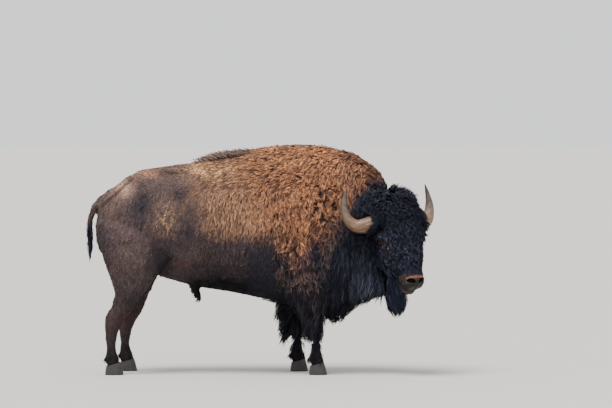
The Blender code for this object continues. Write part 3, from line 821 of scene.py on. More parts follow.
def ribbons(piece, path, across, width, shading, tint, root, normal):
    """Adds tapered ribbons to a piece of the coat: path is (strands, steps + 1, 3), the rest matches it."""
    strands, steps = path.shape[0], path.shape[1] - 1
    half = across * (width / 2)[..., None]
    body = np.stack([(path - half)[:, :-1], (path + half)[:, :-1]], 2).reshape(strands, steps * 2, 3)
    points = np.concatenate([body, path[:, -1:]], 1)
    per = steps * 2 + 1
    paired = np.r_[np.repeat(np.arange(steps), 2), steps]
    quads = [[2 * i, 2 * i + 1, 2 * i + 3, 2 * i, 2 * i + 3, 2 * i + 2] for i in range(steps - 1)]
    tip = [[2 * steps - 2, 2 * steps - 1, 2 * steps]]
    ribbon = np.concatenate([np.array(quads, int).reshape(-1, 3), tip])
    s = np.linspace(0, 1, steps + 1)[paired]
    way = np.stack([np.concatenate([np.tile([0.0, 1.0], steps), [0.5]]), s], -1)
    fibre = np.concatenate([np.tile(way, (strands, 1)), np.repeat(rng.random((strands, 2)), per, 0)], 1)
    group = dict(
        points=points.reshape(-1, 3),
        faces=(ribbon[None] + np.arange(strands)[:, None, None] * per).reshape(-1, 3),
        shading=shading[:, paired].reshape(-1, 3),
        tint=tint[:, paired].reshape(-1, 4),
        root=np.repeat(root, per, 0),
        normal=np.repeat(normal, per, 0),
        fibre=fibre,
    )
    coat_pieces.setdefault(piece, []).append(group)


# How strongly light and shade work on red, green and blue: the furrows are cooler than the tips
HUES_OF_SHADE = np.array([1.05, 1.0, 0.80])
# The roots' darker colour is painted shade, the dark deep in the coat
GAP_HUE = [1.0, 0.92, 0.90]  # a root's colour is its tip's times this and the style's gap
ROOT_DEPTH = 0.004  # how deep in the skin a lock starts

# What a style of coat says about its locks. curl is a radius and turns goes with it; belly and open are
# how full a lock is in the middle and at its tip. stray, swirl and clump_stray turn the lie from lock to
# lock, in slow waves and from clump to clump. peak is where along it a lock lifts most. A clump is stretch
# times longer along the hair; lumps makes it round, pull draws its locks together and furrow darkens its
# rim with painted shade. mottle and fine vary the tone of clumps and strands; gap is the painted shade at a
# lock's root, lit the painted light on its top and edge the painted shade at its sides; round is how round
# it is shaded
DEFAULTS = dict(
    curl=0.0, turns=1.0, belly=0.35, open=0.08, stray=0.12, swirl=0.15, peak=0.7, droop=0.0, pull=0.4,
    clump=0.05, clump_stray=0.2, stretch=2.0, lumps=0.3, furrow=0.25, mottle=0.15, fine=0.15, gap=0.35,
    lit=0.25, edge=0.3, round=0.7,
)


def by(direction, amount):
    """A direction for each lock, times an amount for each of its points or strands."""
    return direction[:, None] * amount[..., None]


def grow(piece, root, normal, lie, style, size, tips, base=None, contrast=1.0):
    """Adds locks to a piece of the coat. A lock is a bunch of flat strands that meet towards its tip."""
    k = SimpleNamespace(**{**DEFAULTS, **style})
    count = len(root)
    if not count:
        return
    clump, middles = clumps(root, lie, k.clump, k.stretch)
    clump_turn = rng.normal(0, k.clump_stray, len(middles))[clump]
    clump_tone = rng.normal(0, k.mottle, len(middles))[clump]
    clump_phase = rng.uniform(0, 2 * math.pi, len(middles))[clump][:, None]
    clump_hand = np.where(rng.random(len(middles)) < 0.5, 1, -1)[clump][:, None]
    beside = np.cross(normal, lie)
    offset = ((middles[clump] - root) * beside).sum(-1)
    ahead = ((middles[clump] - root) * lie).sum(-1) / k.stretch
    from_middle = (offset**2 + k.lumps * ahead**2) / (0.5 * k.clump) ** 2
    # Painted shade at the rims of the clumps, between them
    clump_tone = clump_tone - k.furrow * (np.minimum(from_middle, 2.0) - 0.5)
    gather = (beside * offset[:, None] + lie * (k.lumps * ahead)[:, None]) * k.pull

    # The middle line of each lock
    size = size * rng.uniform(0.8, 1.2, count)
    angle = rng.normal(0, k.stray, count) + clump_turn + k.swirl * wave(root, 0.12, 3)
    lie = turned(lie, normal, angle)
    side = np.cross(normal, lie)
    s = np.linspace(0, 1, k.steps + 1)
    length = k.length * size
    lift = k.lift * size * rng.uniform(0.75, 1.2, count)
    rise = np.sin(np.minimum(s / k.peak, 1.5) * math.pi / 2)
    centre = root[:, None] - normal[:, None] * ROOT_DEPTH
    centre = centre + by(lie, length[:, None] * s) + by(normal, lift[:, None] * rise)
    centre = centre + by(gather, (s**2)[None]) - UP * (k.droop * length[:, None] * s**2)[..., None]
    turn = 2 * math.pi * k.turns * s * rng.uniform(0.8, 1.2, (count, 1)) + clump_phase
    turn = (turn + rng.normal(0, 0.7, (count, 1))) * clump_hand
    radius = k.curl * size[:, None] * s**0.7
    centre = centre + by(side, np.cos(turn) * radius) + by(normal, np.sin(turn) * radius * 0.7)

    # The strands round it
    around = rng.uniform(0, 2 * math.pi, (count, k.strands))
    out = np.sqrt(rng.uniform(0.05, 1, (count, k.strands)))
    a, c = np.cos(around) * out, np.sin(around) * out
    ground, raised = by(side, a) + by(lie, c), by(side, a) + by(normal, c)
    close = ((1 - s) ** 0.8)[:, None]
    belly = (np.sin(math.pi * s) * k.belly + s * k.open)[:, None]
    reach = rng.uniform(0.72, 1.05, (count, k.strands, 1, 1))
    path = centre[:, None, :1] + (centre[:, None] - centre[:, None, :1]) * reach
    spread = (k.spread * size)[:, None, None, None]
    path = path + spread * (ground[:, :, None] * close + raised[:, :, None] * belly)
    path = path + rng.normal(0, k.spread * 0.06, path.shape) * (s > 0)[:, None]
    path = path.reshape(count * k.strands, k.steps + 1, 3)
    tangent = unit(np.gradient(path, axis=1))
    outward = unit(normal[:, None] + raised * 0.9 + rng.normal(0, 0.30, raised.shape)).reshape(-1, 1, 3)
    across = unit(np.cross(tangent, np.broadcast_to(outward, tangent.shape)))
    width = (k.width * size)[:, None] * rng.uniform(0.7, 1.2, (count, k.strands))
    width = width.reshape(-1, 1) * (0.70 + 0.55 * np.sin(math.pi * s**0.8))
    around_lock = unit(normal[:, None] * 0.75 + raised * k.round).reshape(-1, 1, 3)
    shading = unit(around_lock + 0.5 * unit(np.cross(across, tangent)))

    # Their colour
    # A lock's root gets painted shade: its colour darkens from the tip towards the skin
    base = tips * k.gap * GAP_HUE if base is None else base
    blend = ramp(s, -0.1, 0.6)[None, None, :, None]
    tone = base[:, None, None] * (1 - blend) + tips[:, None, None] * blend
    bright = clump_tone[:, None] + rng.normal(0, 0.10, (count, 1))
    # Painted light on the top of each lock and painted shade at its sides
    bright = bright + rng.normal(0, k.fine, (count, k.strands)) + k.lit * c - k.edge * a**2
    tone = tone * np.exp((bright * np.reshape(contrast, (-1, 1)))[..., None, None] * HUES_OF_SHADE)
    tint = np.concatenate([tone, np.broadcast_to(s[None, None, :, None], tone.shape[:-1] + (1,))], -1)
    tint = tint.reshape(count * k.strands, k.steps + 1, 4)
    ribbons(piece, path, across, width, shading, tint, *(np.repeat(v, k.strands, 0) for v in (root, normal)))


def build_coat_piece(name, groups, material):
    start, faces = 0, []
    for group in groups:
        faces.append(group["faces"] + start)
        start += len(group["points"])
    fields = ("points", "shading", "tint", "root", "normal", "fibre")
    joined = SimpleNamespace(**{key: np.concatenate([group[key] for group in groups]) for key in fields})
    obj = new_mesh_object(name, joined.points, np.concatenate(faces))
    mesh = obj.data
    give_attribute(mesh, "tint", joined.tint)
    give_attribute(mesh, "fibre", joined.fibre)
    uv = chart(joined.root, joined.normal, joined.root.min(0), joined.root.max(0))
    uv = uv + (joined.fibre[:, :2] - 0.5) * TUFT_PATCH
    loops = read(mesh.loops, "vertex_index", 1, np.int32)[:, 0]
    mesh.uv_layers.new(name=UV_NAME).data.foreach_set("uv", uv[loops].astype(np.float32).ravel())
    mesh.normals_split_custom_set_from_vertices(joined.shading.astype(np.float32))
    mesh.materials.append(material)
    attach(obj, "root")


STYLES = {
    "wool": dict(
        strands=5, steps=4, length=0.060, lift=0.018, curl=0.0072, turns=0.95, spread=0.0080, width=0.0027,
        stray=0.15, swirl=0.35, clump=0.019, clump_stray=0.26, stretch=2.4, lumps=0.6, furrow=0.50,
        pull=0.50, mottle=0.12, fine=0.22, gap=0.10, lit=0.30, edge=0.25, peak=0.45, belly=0.35, round=0.45,
    ),
    "ringlets": dict(
        strands=5, steps=4, length=0.056, lift=0.024, curl=0.0095, turns=1.0, spread=0.0080, width=0.0026,
        stray=0.15, swirl=0.6, clump=0.026, clump_stray=0.55, stretch=1.4, lumps=1.0, furrow=0.70,
        pull=0.55, mottle=0.16, fine=0.22, gap=0.10, lit=0.40, edge=0.25, peak=0.45, belly=0.35, round=0.55,
    ),
    "ribs": dict(
        strands=4, steps=3, length=0.050, lift=0.0075, curl=0.0028, turns=0.9, spread=0.0080, width=0.0028,
        stray=0.08, swirl=0.12, clump=0.018, clump_stray=0.11, stretch=3.5, furrow=0.38, pull=0.40,
        mottle=0.10, fine=0.22, gap=0.20, lit=0.15, edge=0.25, peak=0.5, round=0.35,
    ),
    "short": dict(
        strands=4, steps=2, length=0.034, lift=0.0062, spread=0.009, width=0.0028, stray=0.08, clump=0.024,
        stretch=2.5, furrow=0.16, pull=0.3, mottle=0.12, fine=0.12, gap=0.72, lit=0.08, edge=0.08,
        round=0.22, belly=0.1,
    ),
    "mane": dict(
        strands=9, steps=6, length=0.160, lift=0.030, curl=0.009, turns=1.5, spread=0.015, width=0.0034,
        stray=0.07, swirl=0.14, clump=0.040, clump_stray=0.12, stretch=2.5, furrow=0.60, pull=0.5,
        mottle=0.35, fine=0.30, gap=0.30, lit=0.45, peak=0.4, droop=0.25,
    ),
    "chaps": dict(
        strands=7, steps=6, length=0.165, lift=0.040, curl=0.007, turns=1.2, spread=0.016, width=0.0036,
        stray=0.08, clump=0.055, clump_stray=0.12, stretch=2.0, furrow=0.50, pull=0.45, mottle=0.30,
        fine=0.25, gap=0.30, lit=0.40, peak=0.6, droop=0.15,
    ),
    "bonnet": dict(
        strands=8, steps=4, length=0.048, lift=0.030, curl=0.0060, turns=1.0, spread=0.011, width=0.0023,
        stray=0.30, swirl=0.6, clump=0.024, clump_stray=0.45, stretch=1.3, lumps=0.8, furrow=0.34,
        pull=0.30, mottle=0.16, gap=0.40, lit=0.25, edge=0.3, peak=0.7, belly=0.5, round=0.5,
    ),
    "face": dict(
        strands=5, steps=3, length=0.030, lift=0.016, curl=0.0042, turns=0.75, spread=0.007, width=0.0023,
        stray=0.25, swirl=0.5, clump=0.018, clump_stray=0.45, stretch=1.6, furrow=0.95, pull=0.6,
        mottle=0.28, fine=0.25, gap=0.15, lit=0.55, peak=0.6, round=0.6,
    ),
    "jaw": dict(
        strands=8, steps=5, length=0.080, lift=0.022, curl=0.006, turns=1.2, spread=0.013, width=0.0026,
        stray=0.08, swirl=0.2, clump=0.026, clump_stray=0.14, stretch=2.0, furrow=0.50, pull=0.45,
        mottle=0.25, fine=0.25, gap=0.45, lit=0.40, peak=0.5, droop=0.2,
    ),
}


def regions(p):
    """The share of each style of coat at points of the frame."""
    q = design(p)
    x, _, z = q.T
    along, out, _ = in_head(p)
    head, bare, ear = head_share(p), bare_patch(q), on_ear(p)
    trunk = 1 - head
    rough = wave(q, 0.09, 7) * 0.04
    low_leg = ramp(0.15 - z, -0.03, 0.03)
    front_leg = ramp(x, 0.02, 0.10) * ramp(0.62 - z, 0, 0.08) * ramp(0.66 - x, 0, 0.05)
    chaps = np.clip(front_leg + ramp(x, 0.13, 0.20) * ramp(0.74 - z, 0, 0.12), 0, 1) * (1 - low_leg) * trunk
    mane = ramp(x, 0.50, 0.66) * ramp(1.12 - z, 0, 0.22) * trunk
    mane = np.clip(mane + ramp(x, 0.62, 0.74) * ramp(1.40 - z, 0, 0.2) * trunk, 0, 1) * (1 - chaps)
    wool = ramp(x + rough, -0.12, 0.12) * ramp(z, 0.66, 0.78) * trunk * (1 - mane) * (1 - chaps)
    wool = np.clip(wool * (1 - 1.3 * bare), 0, 1)
    ribs = ramp(x + rough, -0.60, -0.34) * ramp(z + rough, 0.78, 0.92) * trunk
    ribs = ribs * (1 - wool) * (1 - bare) * (1 - chaps)
    short = np.clip(trunk - wool - ribs - mane - chaps, 0, 1)
    lips = ramp(along, 0.49, 0.51) * ramp(out, -0.108, -0.098)
    nose = head * ramp(along, 0.445, 0.462) * np.maximum(ramp(out, -0.075, -0.055), lips)
    bonnet = head * ramp(0.13 - along, 0, 0.10)
    bonnet = bonnet * ramp(out + 0.16 * ramp(0.06 - along, 0, 0.06), -0.20, -0.12) * ~ear
    lower = ramp(along, 0.24, 0.34)
    jaw = head * ramp(-out, 0.10 - 0.05 * lower, 0.17 - 0.06 * lower)
    jaw = jaw * ramp(along, -0.15, 0.05) * ramp(0.44 - along, 0, 0.05) * (1 - bonnet) * ~ear
    face = np.clip(head - bonnet - jaw - nose, 0, 1)
    ringlets = wool * np.clip(1.5 * spot(q, 0.49, 1.34, 0.12, 0.20), 0, 1)
    return dict(
        wool=wool - ringlets, ringlets=ringlets, ribs=ribs, short=short, mane=mane, chaps=chaps,
        bonnet=bonnet, face=face, jaw=jaw,
    )


def clear_of_parts(p):
    """0 at the eyes and in the boxes of the beard and the tail's tuft, where no other hair grows."""
    clear = np.ones(len(p))
    for eye in eyes.values():
        clear = clear * ramp(away(p, eye), 0.029, 0.034)
    for node in ("beard", "tail_tuft"):
        clear = clear * ~within(p, node, 0.01, [0.01, 0.01, -0.03])
    return clear


def piece_of(region, p):
    """The coat's pieces are kept under 200,000 triangles: one for each side and stretch of the body."""
    x, y, _ = design(p).T
    side = np.where(y > 0, "left", "right")
    if region in ("bonnet", "face", "jaw"):
        return np.full(len(p), f"coat_{region}")
    if region in ("wool", "ringlets"):
        return np.char.add(np.where(x > 0.35, "coat_shoulder_", "coat_hump_"), side)
    return np.char.add("coat_hind_" if region == "short" else f"coat_{region}_", side)


# How far apart the locks of each style stand
SPACING = {
    "wool": 0.0118, "ringlets": 0.0128, "ribs": 0.0122, "short": 0.0145, "mane": 0.0190,
    "chaps": 0.0208, "bonnet": 0.0142, "face": 0.0088, "jaw": 0.0165,
}


def sizes(region, root):
    """How large the locks are at each root, next to their style."""
    q = design(root)
    x, _, z = q.T
    along, out, right = in_head(root)
    if region in ("wool", "ringlets"):
        return 0.80 + 0.20 * ramp(x, 0.0, 0.4) + 0.40 * ramp(1.15 - z, 0, 0.35)
    if region == "ribs":
        return 0.75 + 0.35 * ramp(x, -0.5, -0.1)
    if region == "short":
        return 1.0 - 0.35 * ramp(0.5 - z, 0, 0.1) + 0.35 * ramp(0.17 - z, 0, 0.03)
    if region == "mane":
        return 0.55 + 0.45 * ramp(1.25 - z, 0, 0.4) * ramp(z, 0.40, 0.65)
    if region == "chaps":
        behind = ramp(0.30 - x, 0, 0.10) * ramp(z, 0.14, 0.26)
        return 0.34 + 0.53 * ramp(0.70 - z, 0, 0.25) * np.maximum(ramp(z, 0.28, 0.42), behind)
    if region == "bonnet":
        return 0.8 + 0.65 * ramp(-along, 0.09, 0.20) + 0.25 * spot(q, 0.96, 1.40, 0.05, 0.05)
    if region == "jaw":
        throat = 0.5 * ramp(0.24 - along, 0, 0.10) * ramp(-right, 0.10, 0.16)
        long_stretch = 0.7 * ramp(along, 0.18, 0.26) * ramp(0.37 - along, 0, 0.04)
        return 1 - throat + long_stretch * ramp(-out, 0.05, 0.11)
    return np.where(on_ear(root), 0.75, 1 - 0.62 * ramp(along, 0.36, 0.45))


def grow_coat(skin):
    surface = sample_skin(skin)
    for region, spacing in SPACING.items():
        root, normal = scatter(surface, lambda p: regions(p)[region] * clear_of_parts(p), spacing)
        x, _, z = design(root).T
        size, lie, tips = sizes(region, root), lie_of_coat(root, normal), markings(root)
        along = in_head(root)[0]
        long_on_jaw = head_share(root) * ramp(along, 0.18, 0.26) * ramp(0.37 - along, 0, 0.04)
        hanging = HANGING.get(region, HANGING_ELSE) * (1 - long_on_jaw)
        size = size * (1 - hanging * ramp(-normal[:, 2], -0.1, 0.6))
        contrast, base = np.ones(len(root)), None
        if region == "ribs":
            contrast = (1 - 0.75 * ramp(1.24 - z, 0, 0.20)) * (0.55 + 0.45 * ramp(x, -0.50, -0.25))
        if region == "wool":
            contrast = 1 + 0.6 * ramp(1.10 - z, 0, 0.15)
        # The roots of the woolly coats get darker painted shade, down to ROOT
        if region in ("wool", "ringlets", "ribs"):
            base = mix(tips * 0.6, np.minimum(tips * 0.6, ROOT), np.clip(contrast, 0, 1))
        tips = tips * TIP_GAIN.get(region, 1.0)
        names = piece_of(region, root)
        for name in np.unique(names):
            own = names == name
            own_base = None if base is None else base[own]
            rest = size[own], tips[own], own_base, contrast[own]
            grow(str(name), root[own], normal[own], lie[own], STYLES[region], *rest)
    grow_fringe(surface)
    grow_collars()
    hang("coat_beard", "beard", 210, 10, 0.0034, BEARD_OUTLINE, 0.0)
    hang("coat_tail_tuft", "tail_tuft", 54, 9, 0.0026, TUFT_OUTLINE, 0.30)


FRINGE_STYLE = dict(
    strands=7, steps=4, length=0.060, lift=0.034, spread=0.009, width=0.0020, stray=0.22, clump=0.03,
    pull=0.4, peak=1.0, mottle=0.25, curl=0.004,
)
COLLAR_STYLE = dict(STYLES["bonnet"], length=0.040, lift=0.016, clump_stray=0.3, stray=0.3, strands=7)
COLLAR_LOCKS = 520


def grow_fringe(surface):
    """The upright dark hair along the back, behind the hump."""

    def share(p):
        q = design(p)
        near = spot(q, -0.29, 1.69, 0.20, 0.06)
        return near * ramp(near, 0.06, 0.30) * ramp(0.080 - np.abs(q[:, 1]), 0, 0.03)

    root, normal = scatter(surface, share, 0.0085)
    lie = unit(np.tile([-0.85, 0, 0.1], (len(root), 1)))
    size = 0.45 + 0.60 * spot(design(root), -0.29, 1.69, 0.20, 0.08)
    grow("coat_fringe", root, normal, lie, FRINGE_STYLE, size, np.tile(FRINGE, (len(root), 1)))


def grow_collars():
    """The crown's hair that lies out over the root of each horn, further out below than above."""
    for _, side in SIDES:
        path, radius = horn_path(side, 60)
        angle = rng.uniform(0, 2 * math.pi, COLLAR_LOCKS)
        at = rng.integers(2, 10, COLLAR_LOCKS) + (7 * ramp(np.sin(angle), -0.1, 0.6)).astype(int)
        along = unit(path[at + 1] - path[at])
        first = unit(np.cross(along, UPRIGHT))
        second = np.cross(along, first)
        normal = first * np.cos(angle)[:, None] + second * np.sin(angle)[:, None]
        root = path[at] + normal * (radius[at] * 1.02 + 0.002)
        lie = flattened(unit(along + UP * -0.25), normal)
        grow("coat_bonnet", root, normal, lie, COLLAR_STYLE, np.ones(COLLAR_LOCKS), markings(root))


# Outlines of hanging hair: how far down, and how wide there, as shares of its box
BEARD_OUTLINE = ((0.0, 0.80), (0.15, 0.92), (0.35, 1.0), (0.6, 1.0), (0.8, 0.82), (0.93, 0.48), (1.0, 0.10))
TUFT_OUTLINE = ((-0.3, 0.75), (0.0, 0.85), (0.3, 0.95), (0.55, 0.90), (0.75, 0.60), (0.9, 0.3), (1.0, 0.10))


HANGING_STEPS = 8
# Bluer still: painted reflection of the sky on the hanging hair
HANGING_BLACK = BLUE_BLACK * [1.05, 1.15, 1.18]


def hang(piece, node, locks, strands, width, outline, above):
    """Fills a node's box with long hair that hangs from its top, or from above it, to the outline's foot."""
    low, high = corners(node)
    middle, height = (low + high) / 2, high[2] - low[2]
    count = locks * strands
    lock = np.repeat(np.arange(locks), strands)
    angle = rng.uniform(0, 2 * math.pi, locks)[lock]
    out = np.sqrt(rng.uniform(0.05, 1, locks))[lock]
    start = rng.uniform(-above, 0.45, locks)[lock]
    end = start + rng.uniform(0.40, 0.80, locks)[lock]
    end = np.clip(end, 0, rng.uniform(0.86, 1.0, locks)[lock]) - rng.uniform(0, 0.08, count)
    s = np.linspace(0, 1, HANGING_STEPS + 1)
    t = start[:, None] + (end - start)[:, None] * s
    half = table(t, outline)
    phase = rng.uniform(0, 6.3, locks)[lock][:, None] + rng.normal(0, 0.4, (count, 1))
    a = angle[:, None] + 0.25 * np.sin(t * 11 + phase) * s
    out = out * rng.uniform(0.9, 1.12, locks)[lock]
    scatter_x, scatter_y = rng.normal(0, 0.08, (2, count, 1)) * (1 - 0.7 * s)
    curl_x, curl_y = 0.09 * np.sin(t * 21 + phase) * s**0.5, 0.09 * np.cos(t * 17 + phase) * s**0.5
    reach = (high - low)[:2] / 2 * 1.1
    x = middle[0] + reach[0] * half * (np.cos(a) * out[:, None] + scatter_x + curl_x)
    y = middle[1] + reach[1] * half * (np.sin(a) * out[:, None] + scatter_y + curl_y)
    path = np.stack([x, y, high[2] - t * height], -1)
    outward = np.stack([np.cos(angle), np.sin(angle), 0 * angle], -1)
    tangent = unit(np.gradient(path, axis=1))
    across = unit(np.cross(tangent, unit(outward + rng.normal(0, 0.4, outward.shape))[:, None]))
    shading = unit(outward[:, None] + 0.4 * unit(np.cross(across, tangent)))
    # Locks further out are lighter and the inner ones darker: painted shade inside the hanging hair
    bright = rng.normal(0, 0.40, locks)[lock] + 0.5 * (out - 0.7) + rng.normal(0, 0.25, count)
    tone = np.repeat((HANGING_BLACK * np.exp(bright)[:, None])[:, None], HANGING_STEPS + 1, 1)
    if node == "tail_tuft":
        tone = mix(tone, UMBER * 0.8, ramp(path[..., 2], 1.09, 1.20))
    tint = np.concatenate([tone, np.tile(s[None, :, None], (count, 1, 1))], -1)
    widths = width * rng.uniform(0.7, 1.2, (count, 1)) * (0.8 + 0.4 * np.sin(math.pi * s))
    ribbons(piece, path, across, widths, shading, tint, path[:, 0], outward)


# Horns, eyes and hooves

# Rows along a horn: how far out to the side, back and up from the head's middle, and the radius
HORN = (
    (0.140, -0.003, 0.013, 0.0655),
    (0.180, 0.008, 0.008, 0.0685),
    (0.240, 0.035, -0.012, 0.0655),
    (0.310, 0.075, -0.014, 0.0535),
    (0.362, 0.106, 0.034, 0.0425),
    (0.383, 0.124, 0.112, 0.0315),
    (0.375, 0.132, 0.195, 0.0195),
    (0.352, 0.130, 0.272, 0.0030),
)


def through(rows, count):
    """Points on the smooth curve through the rows."""
    rows = np.array(rows)
    rows = np.concatenate([[2 * rows[0] - rows[1]], rows, [2 * rows[-1] - rows[-2]]])
    at = np.linspace(0, len(rows) - 3 - 1e-9, count)
    i = at.astype(int)
    t = (at - i)[:, None]
    a, b, c, d = rows[i], rows[i + 1], rows[i + 2], rows[i + 3]
    return 0.5 * (2 * b + (c - a) * t + (2 * a - 5 * b + 4 * c - d) * t**2 + (3 * b - a - 3 * c + d) * t**3)


HORN_FLATNESS = 0.92


def horn_path(side, rows):
    """The middle line of a horn in so many rows, and its radius at each, as a column."""
    x, back, up, radius = np.split(through(HORN, rows), 4, axis=1)
    return HEAD + RIGHT * side * x - AHEAD * back + UPRIGHT * up, radius


def make_horn(name, side, material):
    rings, around = 130, 48
    centre, radius = horn_path(side, rings)
    tangent = unit(np.gradient(centre, axis=0))
    step = np.r_[0, np.cumsum(np.linalg.norm(np.diff(centre, axis=0), axis=1))]
    first = unit(np.cross(tangent, UPRIGHT))
    second = unit(np.cross(tangent, first))
    angle = np.linspace(0, 2 * math.pi, around, endpoint=False)
    fade = ramp(0.20 - step, 0, 0.16)[:, None]
    rings_worn = np.sin(step / 0.0105 * 2 * math.pi + 0.9 * np.sin(step / 0.03))[:, None] * 0.0009 * fade
    furrows = np.sin(angle * 11 + 1.5 * np.sin(angle * 3))[None] * 0.0006
    furrows = furrows * ramp(0.34 - step, 0, 0.2)[:, None]
    r = radius + (rings_worn + furrows) * np.minimum(radius / 0.03, 1)
    cos, sin = np.cos(angle)[None, :, None], np.sin(angle)[None, :, None]
    points = centre[:, None] + (first[:, None] * cos + second[:, None] * sin * HORN_FLATNESS) * r[..., None]
    points = np.concatenate([points.reshape(-1, 3), centre[:1], centre[-1:] + tangent[-1:] * 0.002])
    i, j = np.meshgrid(np.arange(rings - 1), np.arange(around), indexing="ij")
    k = (j + 1) % around
    sides = np.stack([i * around + j, (i + 1) * around + j, (i + 1) * around + k, i * around + k], -1)
    sides = sides.reshape(-1, 4)
    here = np.arange(around)
    after, last = (here + 1) % around, (rings - 1) * around
    base = np.stack([np.full(around, rings * around), here, after], -1)
    tip = np.stack([np.full(around, rings * around + 1), last + after, last + here], -1)
    faces = np.concatenate([sides[:, [0, 1, 2]], sides[:, [0, 2, 3]], base, tip])
    obj = new_mesh_object(f"horn_{name}_keratin", points, faces)
    mesh = obj.data
    with edited(mesh) as bm:
        bmesh.ops.recalc_face_normals(bm, faces=bm.faces)
    shade_smooth(mesh)
    share = np.repeat(step / step[-1], around)
    round_it = [np.tile(part(angle), rings) * 0.5 + 0.5 for part in (np.cos, np.sin)]
    lay = np.stack([share, *round_it, share * 0 + 1], -1)
    give_attribute(mesh, "lay", np.concatenate([lay, [[0, 0.5, 0.5, 1]], [[1, 0.5, 0.5, 1]]]))
    mesh.materials.append(material)
    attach(obj, "root")
    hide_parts(f"horn_{name}")


EYE_RADIUS = 0.0207
CORNEA = 0.05, 0.45  # its rise and its reach, in radii of the eye


def make_eye(name, side, material):
    looks, long, up = eye_axes(side)
    mesh = bpy.data.meshes.new(f"eyeball_{name}")
    with edited(mesh) as bm:
        bmesh.ops.create_uvsphere(bm, u_segments=48, v_segments=32, radius=1)
        local = np.array([v.co for v in bm.verts])
        rise, reach = CORNEA
        from_axis = np.hypot(local[:, 0], local[:, 1])
        bulge = 1 + rise * np.exp(-((from_axis / reach) ** 2)) * (local[:, 2] > 0)
        place = local * bulge[:, None] * EYE_RADIUS
        placed = eyes[name] + long * place[:, :1] + up * place[:, 1:2] + looks * place[:, 2:]
        for vertex, at in zip(bm.verts, placed):
            vertex.co = at
        bmesh.ops.recalc_face_normals(bm, faces=bm.faces)
    shade_smooth(mesh)
    obj = new_object(f"eyeball_{name}", mesh)
    give_attribute(mesh, "gaze", np.concatenate([local * 0.5 + 0.5, np.ones((len(local), 1))], 1))
    mesh.materials.append(material)
    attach(obj, "root")
    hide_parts(f"eye_{name}")


# Materials


class Shader:
    """A material's nodes, wired a step at a time."""

    def __init__(self, name):
        self.material = bpy.data.materials.new(name)
        self.material.use_nodes = True
        self.nodes, self.links = self.material.node_tree.nodes, self.material.node_tree.links
        self.out = self.nodes["Principled BSDF"]

    def node(self, kind, **inputs):
        made = self.nodes.new("ShaderNode" + kind)
        for name, value in inputs.items():
            self.put(made, name.replace("_", " "), value)
        return made

    def put(self, node, name, value):
        if isinstance(value, bpy.types.NodeSocket):
            self.links.new(value, node.inputs[name])
        else:
            node.inputs[name].default_value = value

    def attribute(self, name):
        """The colour and the alpha of an attribute of the mesh."""
        made = self.nodes.new("ShaderNodeAttribute")
        made.attribute_name = name
        return made.outputs["Color"], made.outputs["Alpha"]

    def split(self, colour):
        made = self.node("SeparateColor", Color=colour)
        return [made.outputs[channel] for channel in ("Red", "Green", "Blue")]

    def joined(self, x, y, z):
        return self.node("CombineXYZ", X=x, Y=y, Z=z).outputs["Vector"]

    def place(self, scale=(1, 1, 1)):
        here = self.node("TexCoord").outputs["Object"]
        return self.node("Mapping", Vector=here, Scale=scale).outputs["Vector"]

    def texture(self, place, scale, detail, rough=0.5):
        made = self.node("TexNoise", Vector=place, Scale=scale, Detail=detail, Roughness=rough)
        return made.outputs["Fac"]

    def noise(self, size, scale=(1, 1, 1), detail=3.0, rough=0.5):
        """Noise with features about that size, from 0 to 1."""
        return self.texture(self.place(scale), 1 / size, detail, rough)

    def remap(self, value, low, high, to_low, to_high):
        made = self.node("MapRange", Value=value)
        for name, number in (("From Min", low), ("From Max", high), ("To Min", to_low), ("To Max", to_high)):
            made.inputs[name].default_value = number
        return made.outputs["Result"]

    def math(self, operation, a, b=0.0):
        made = self.nodes.new("ShaderNodeMath")
        made.operation = operation
        self.put(made, 0, a)
        self.put(made, 1, b)
        return made.outputs["Value"]

    def times(self, a, b):
        return self.math("MULTIPLY", a, b)

    def plus(self, a, b):
        return self.math("ADD", a, b)

    def blend(self, a, b, share):
        made = self.nodes.new("ShaderNodeMix")
        made.data_type = "RGBA"
        for socket, value in ((0, share), (6, a), (7, b)):
            self.put(made, socket, value)
        return made.outputs[2]

    def scaled(self, colour, amount):
        made = self.nodes.new("ShaderNodeVectorMath")
        made.operation = "SCALE"
        self.put(made, 0, colour)
        self.put(made, "Scale", amount)
        return made.outputs["Vector"]

    def bump(self, height, strength, distance):
        made = self.node("Bump", Height=height, Strength=strength, Distance=distance)
        self.put(self.out, "Normal", made.outputs["Normal"])

    def finish(self, colour, roughness, specular=None):
        self.put(self.out, "Base Color", colour)
        self.put(self.out, "Roughness", roughness)
        if specular is not None:
            self.put(self.out, "Specular IOR Level", specular)
        return self.material


def rgba(*tone):
    return (*srgb(*tone), 1.0)


def coat_material():
    s = Shader("coat")
    tone, from_root = s.attribute("tint")
    strand, second = s.attribute("fibre")  # across a strand, up it, and two random numbers of its own
    across, up, first = s.split(strand)
    across = s.times(across, 2.6)
    hairs = s.joined(s.plus(across, s.times(first, 40.0)), s.times(up, 1.6), s.times(second, 30.0))
    fine = s.texture(hairs, 1.6, 2.0, 0.6)
    patchy = s.remap(s.noise(0.03), 0.3, 0.7, 0.86, 1.14)
    streaked = s.remap(fine, 0.32, 0.68, 0.55, 1.35)
    # Painted shade towards the roots
    along = s.remap(from_root, 0.0, 0.5, 0.65, 1.0)
    colour = s.scaled(tone, s.times(s.times(patchy, streaked), along))
    s.bump(fine, 0.4, 0.002)
    return s.finish(colour, s.remap(fine, 0.3, 0.7, 0.60, 0.80), 0.13)


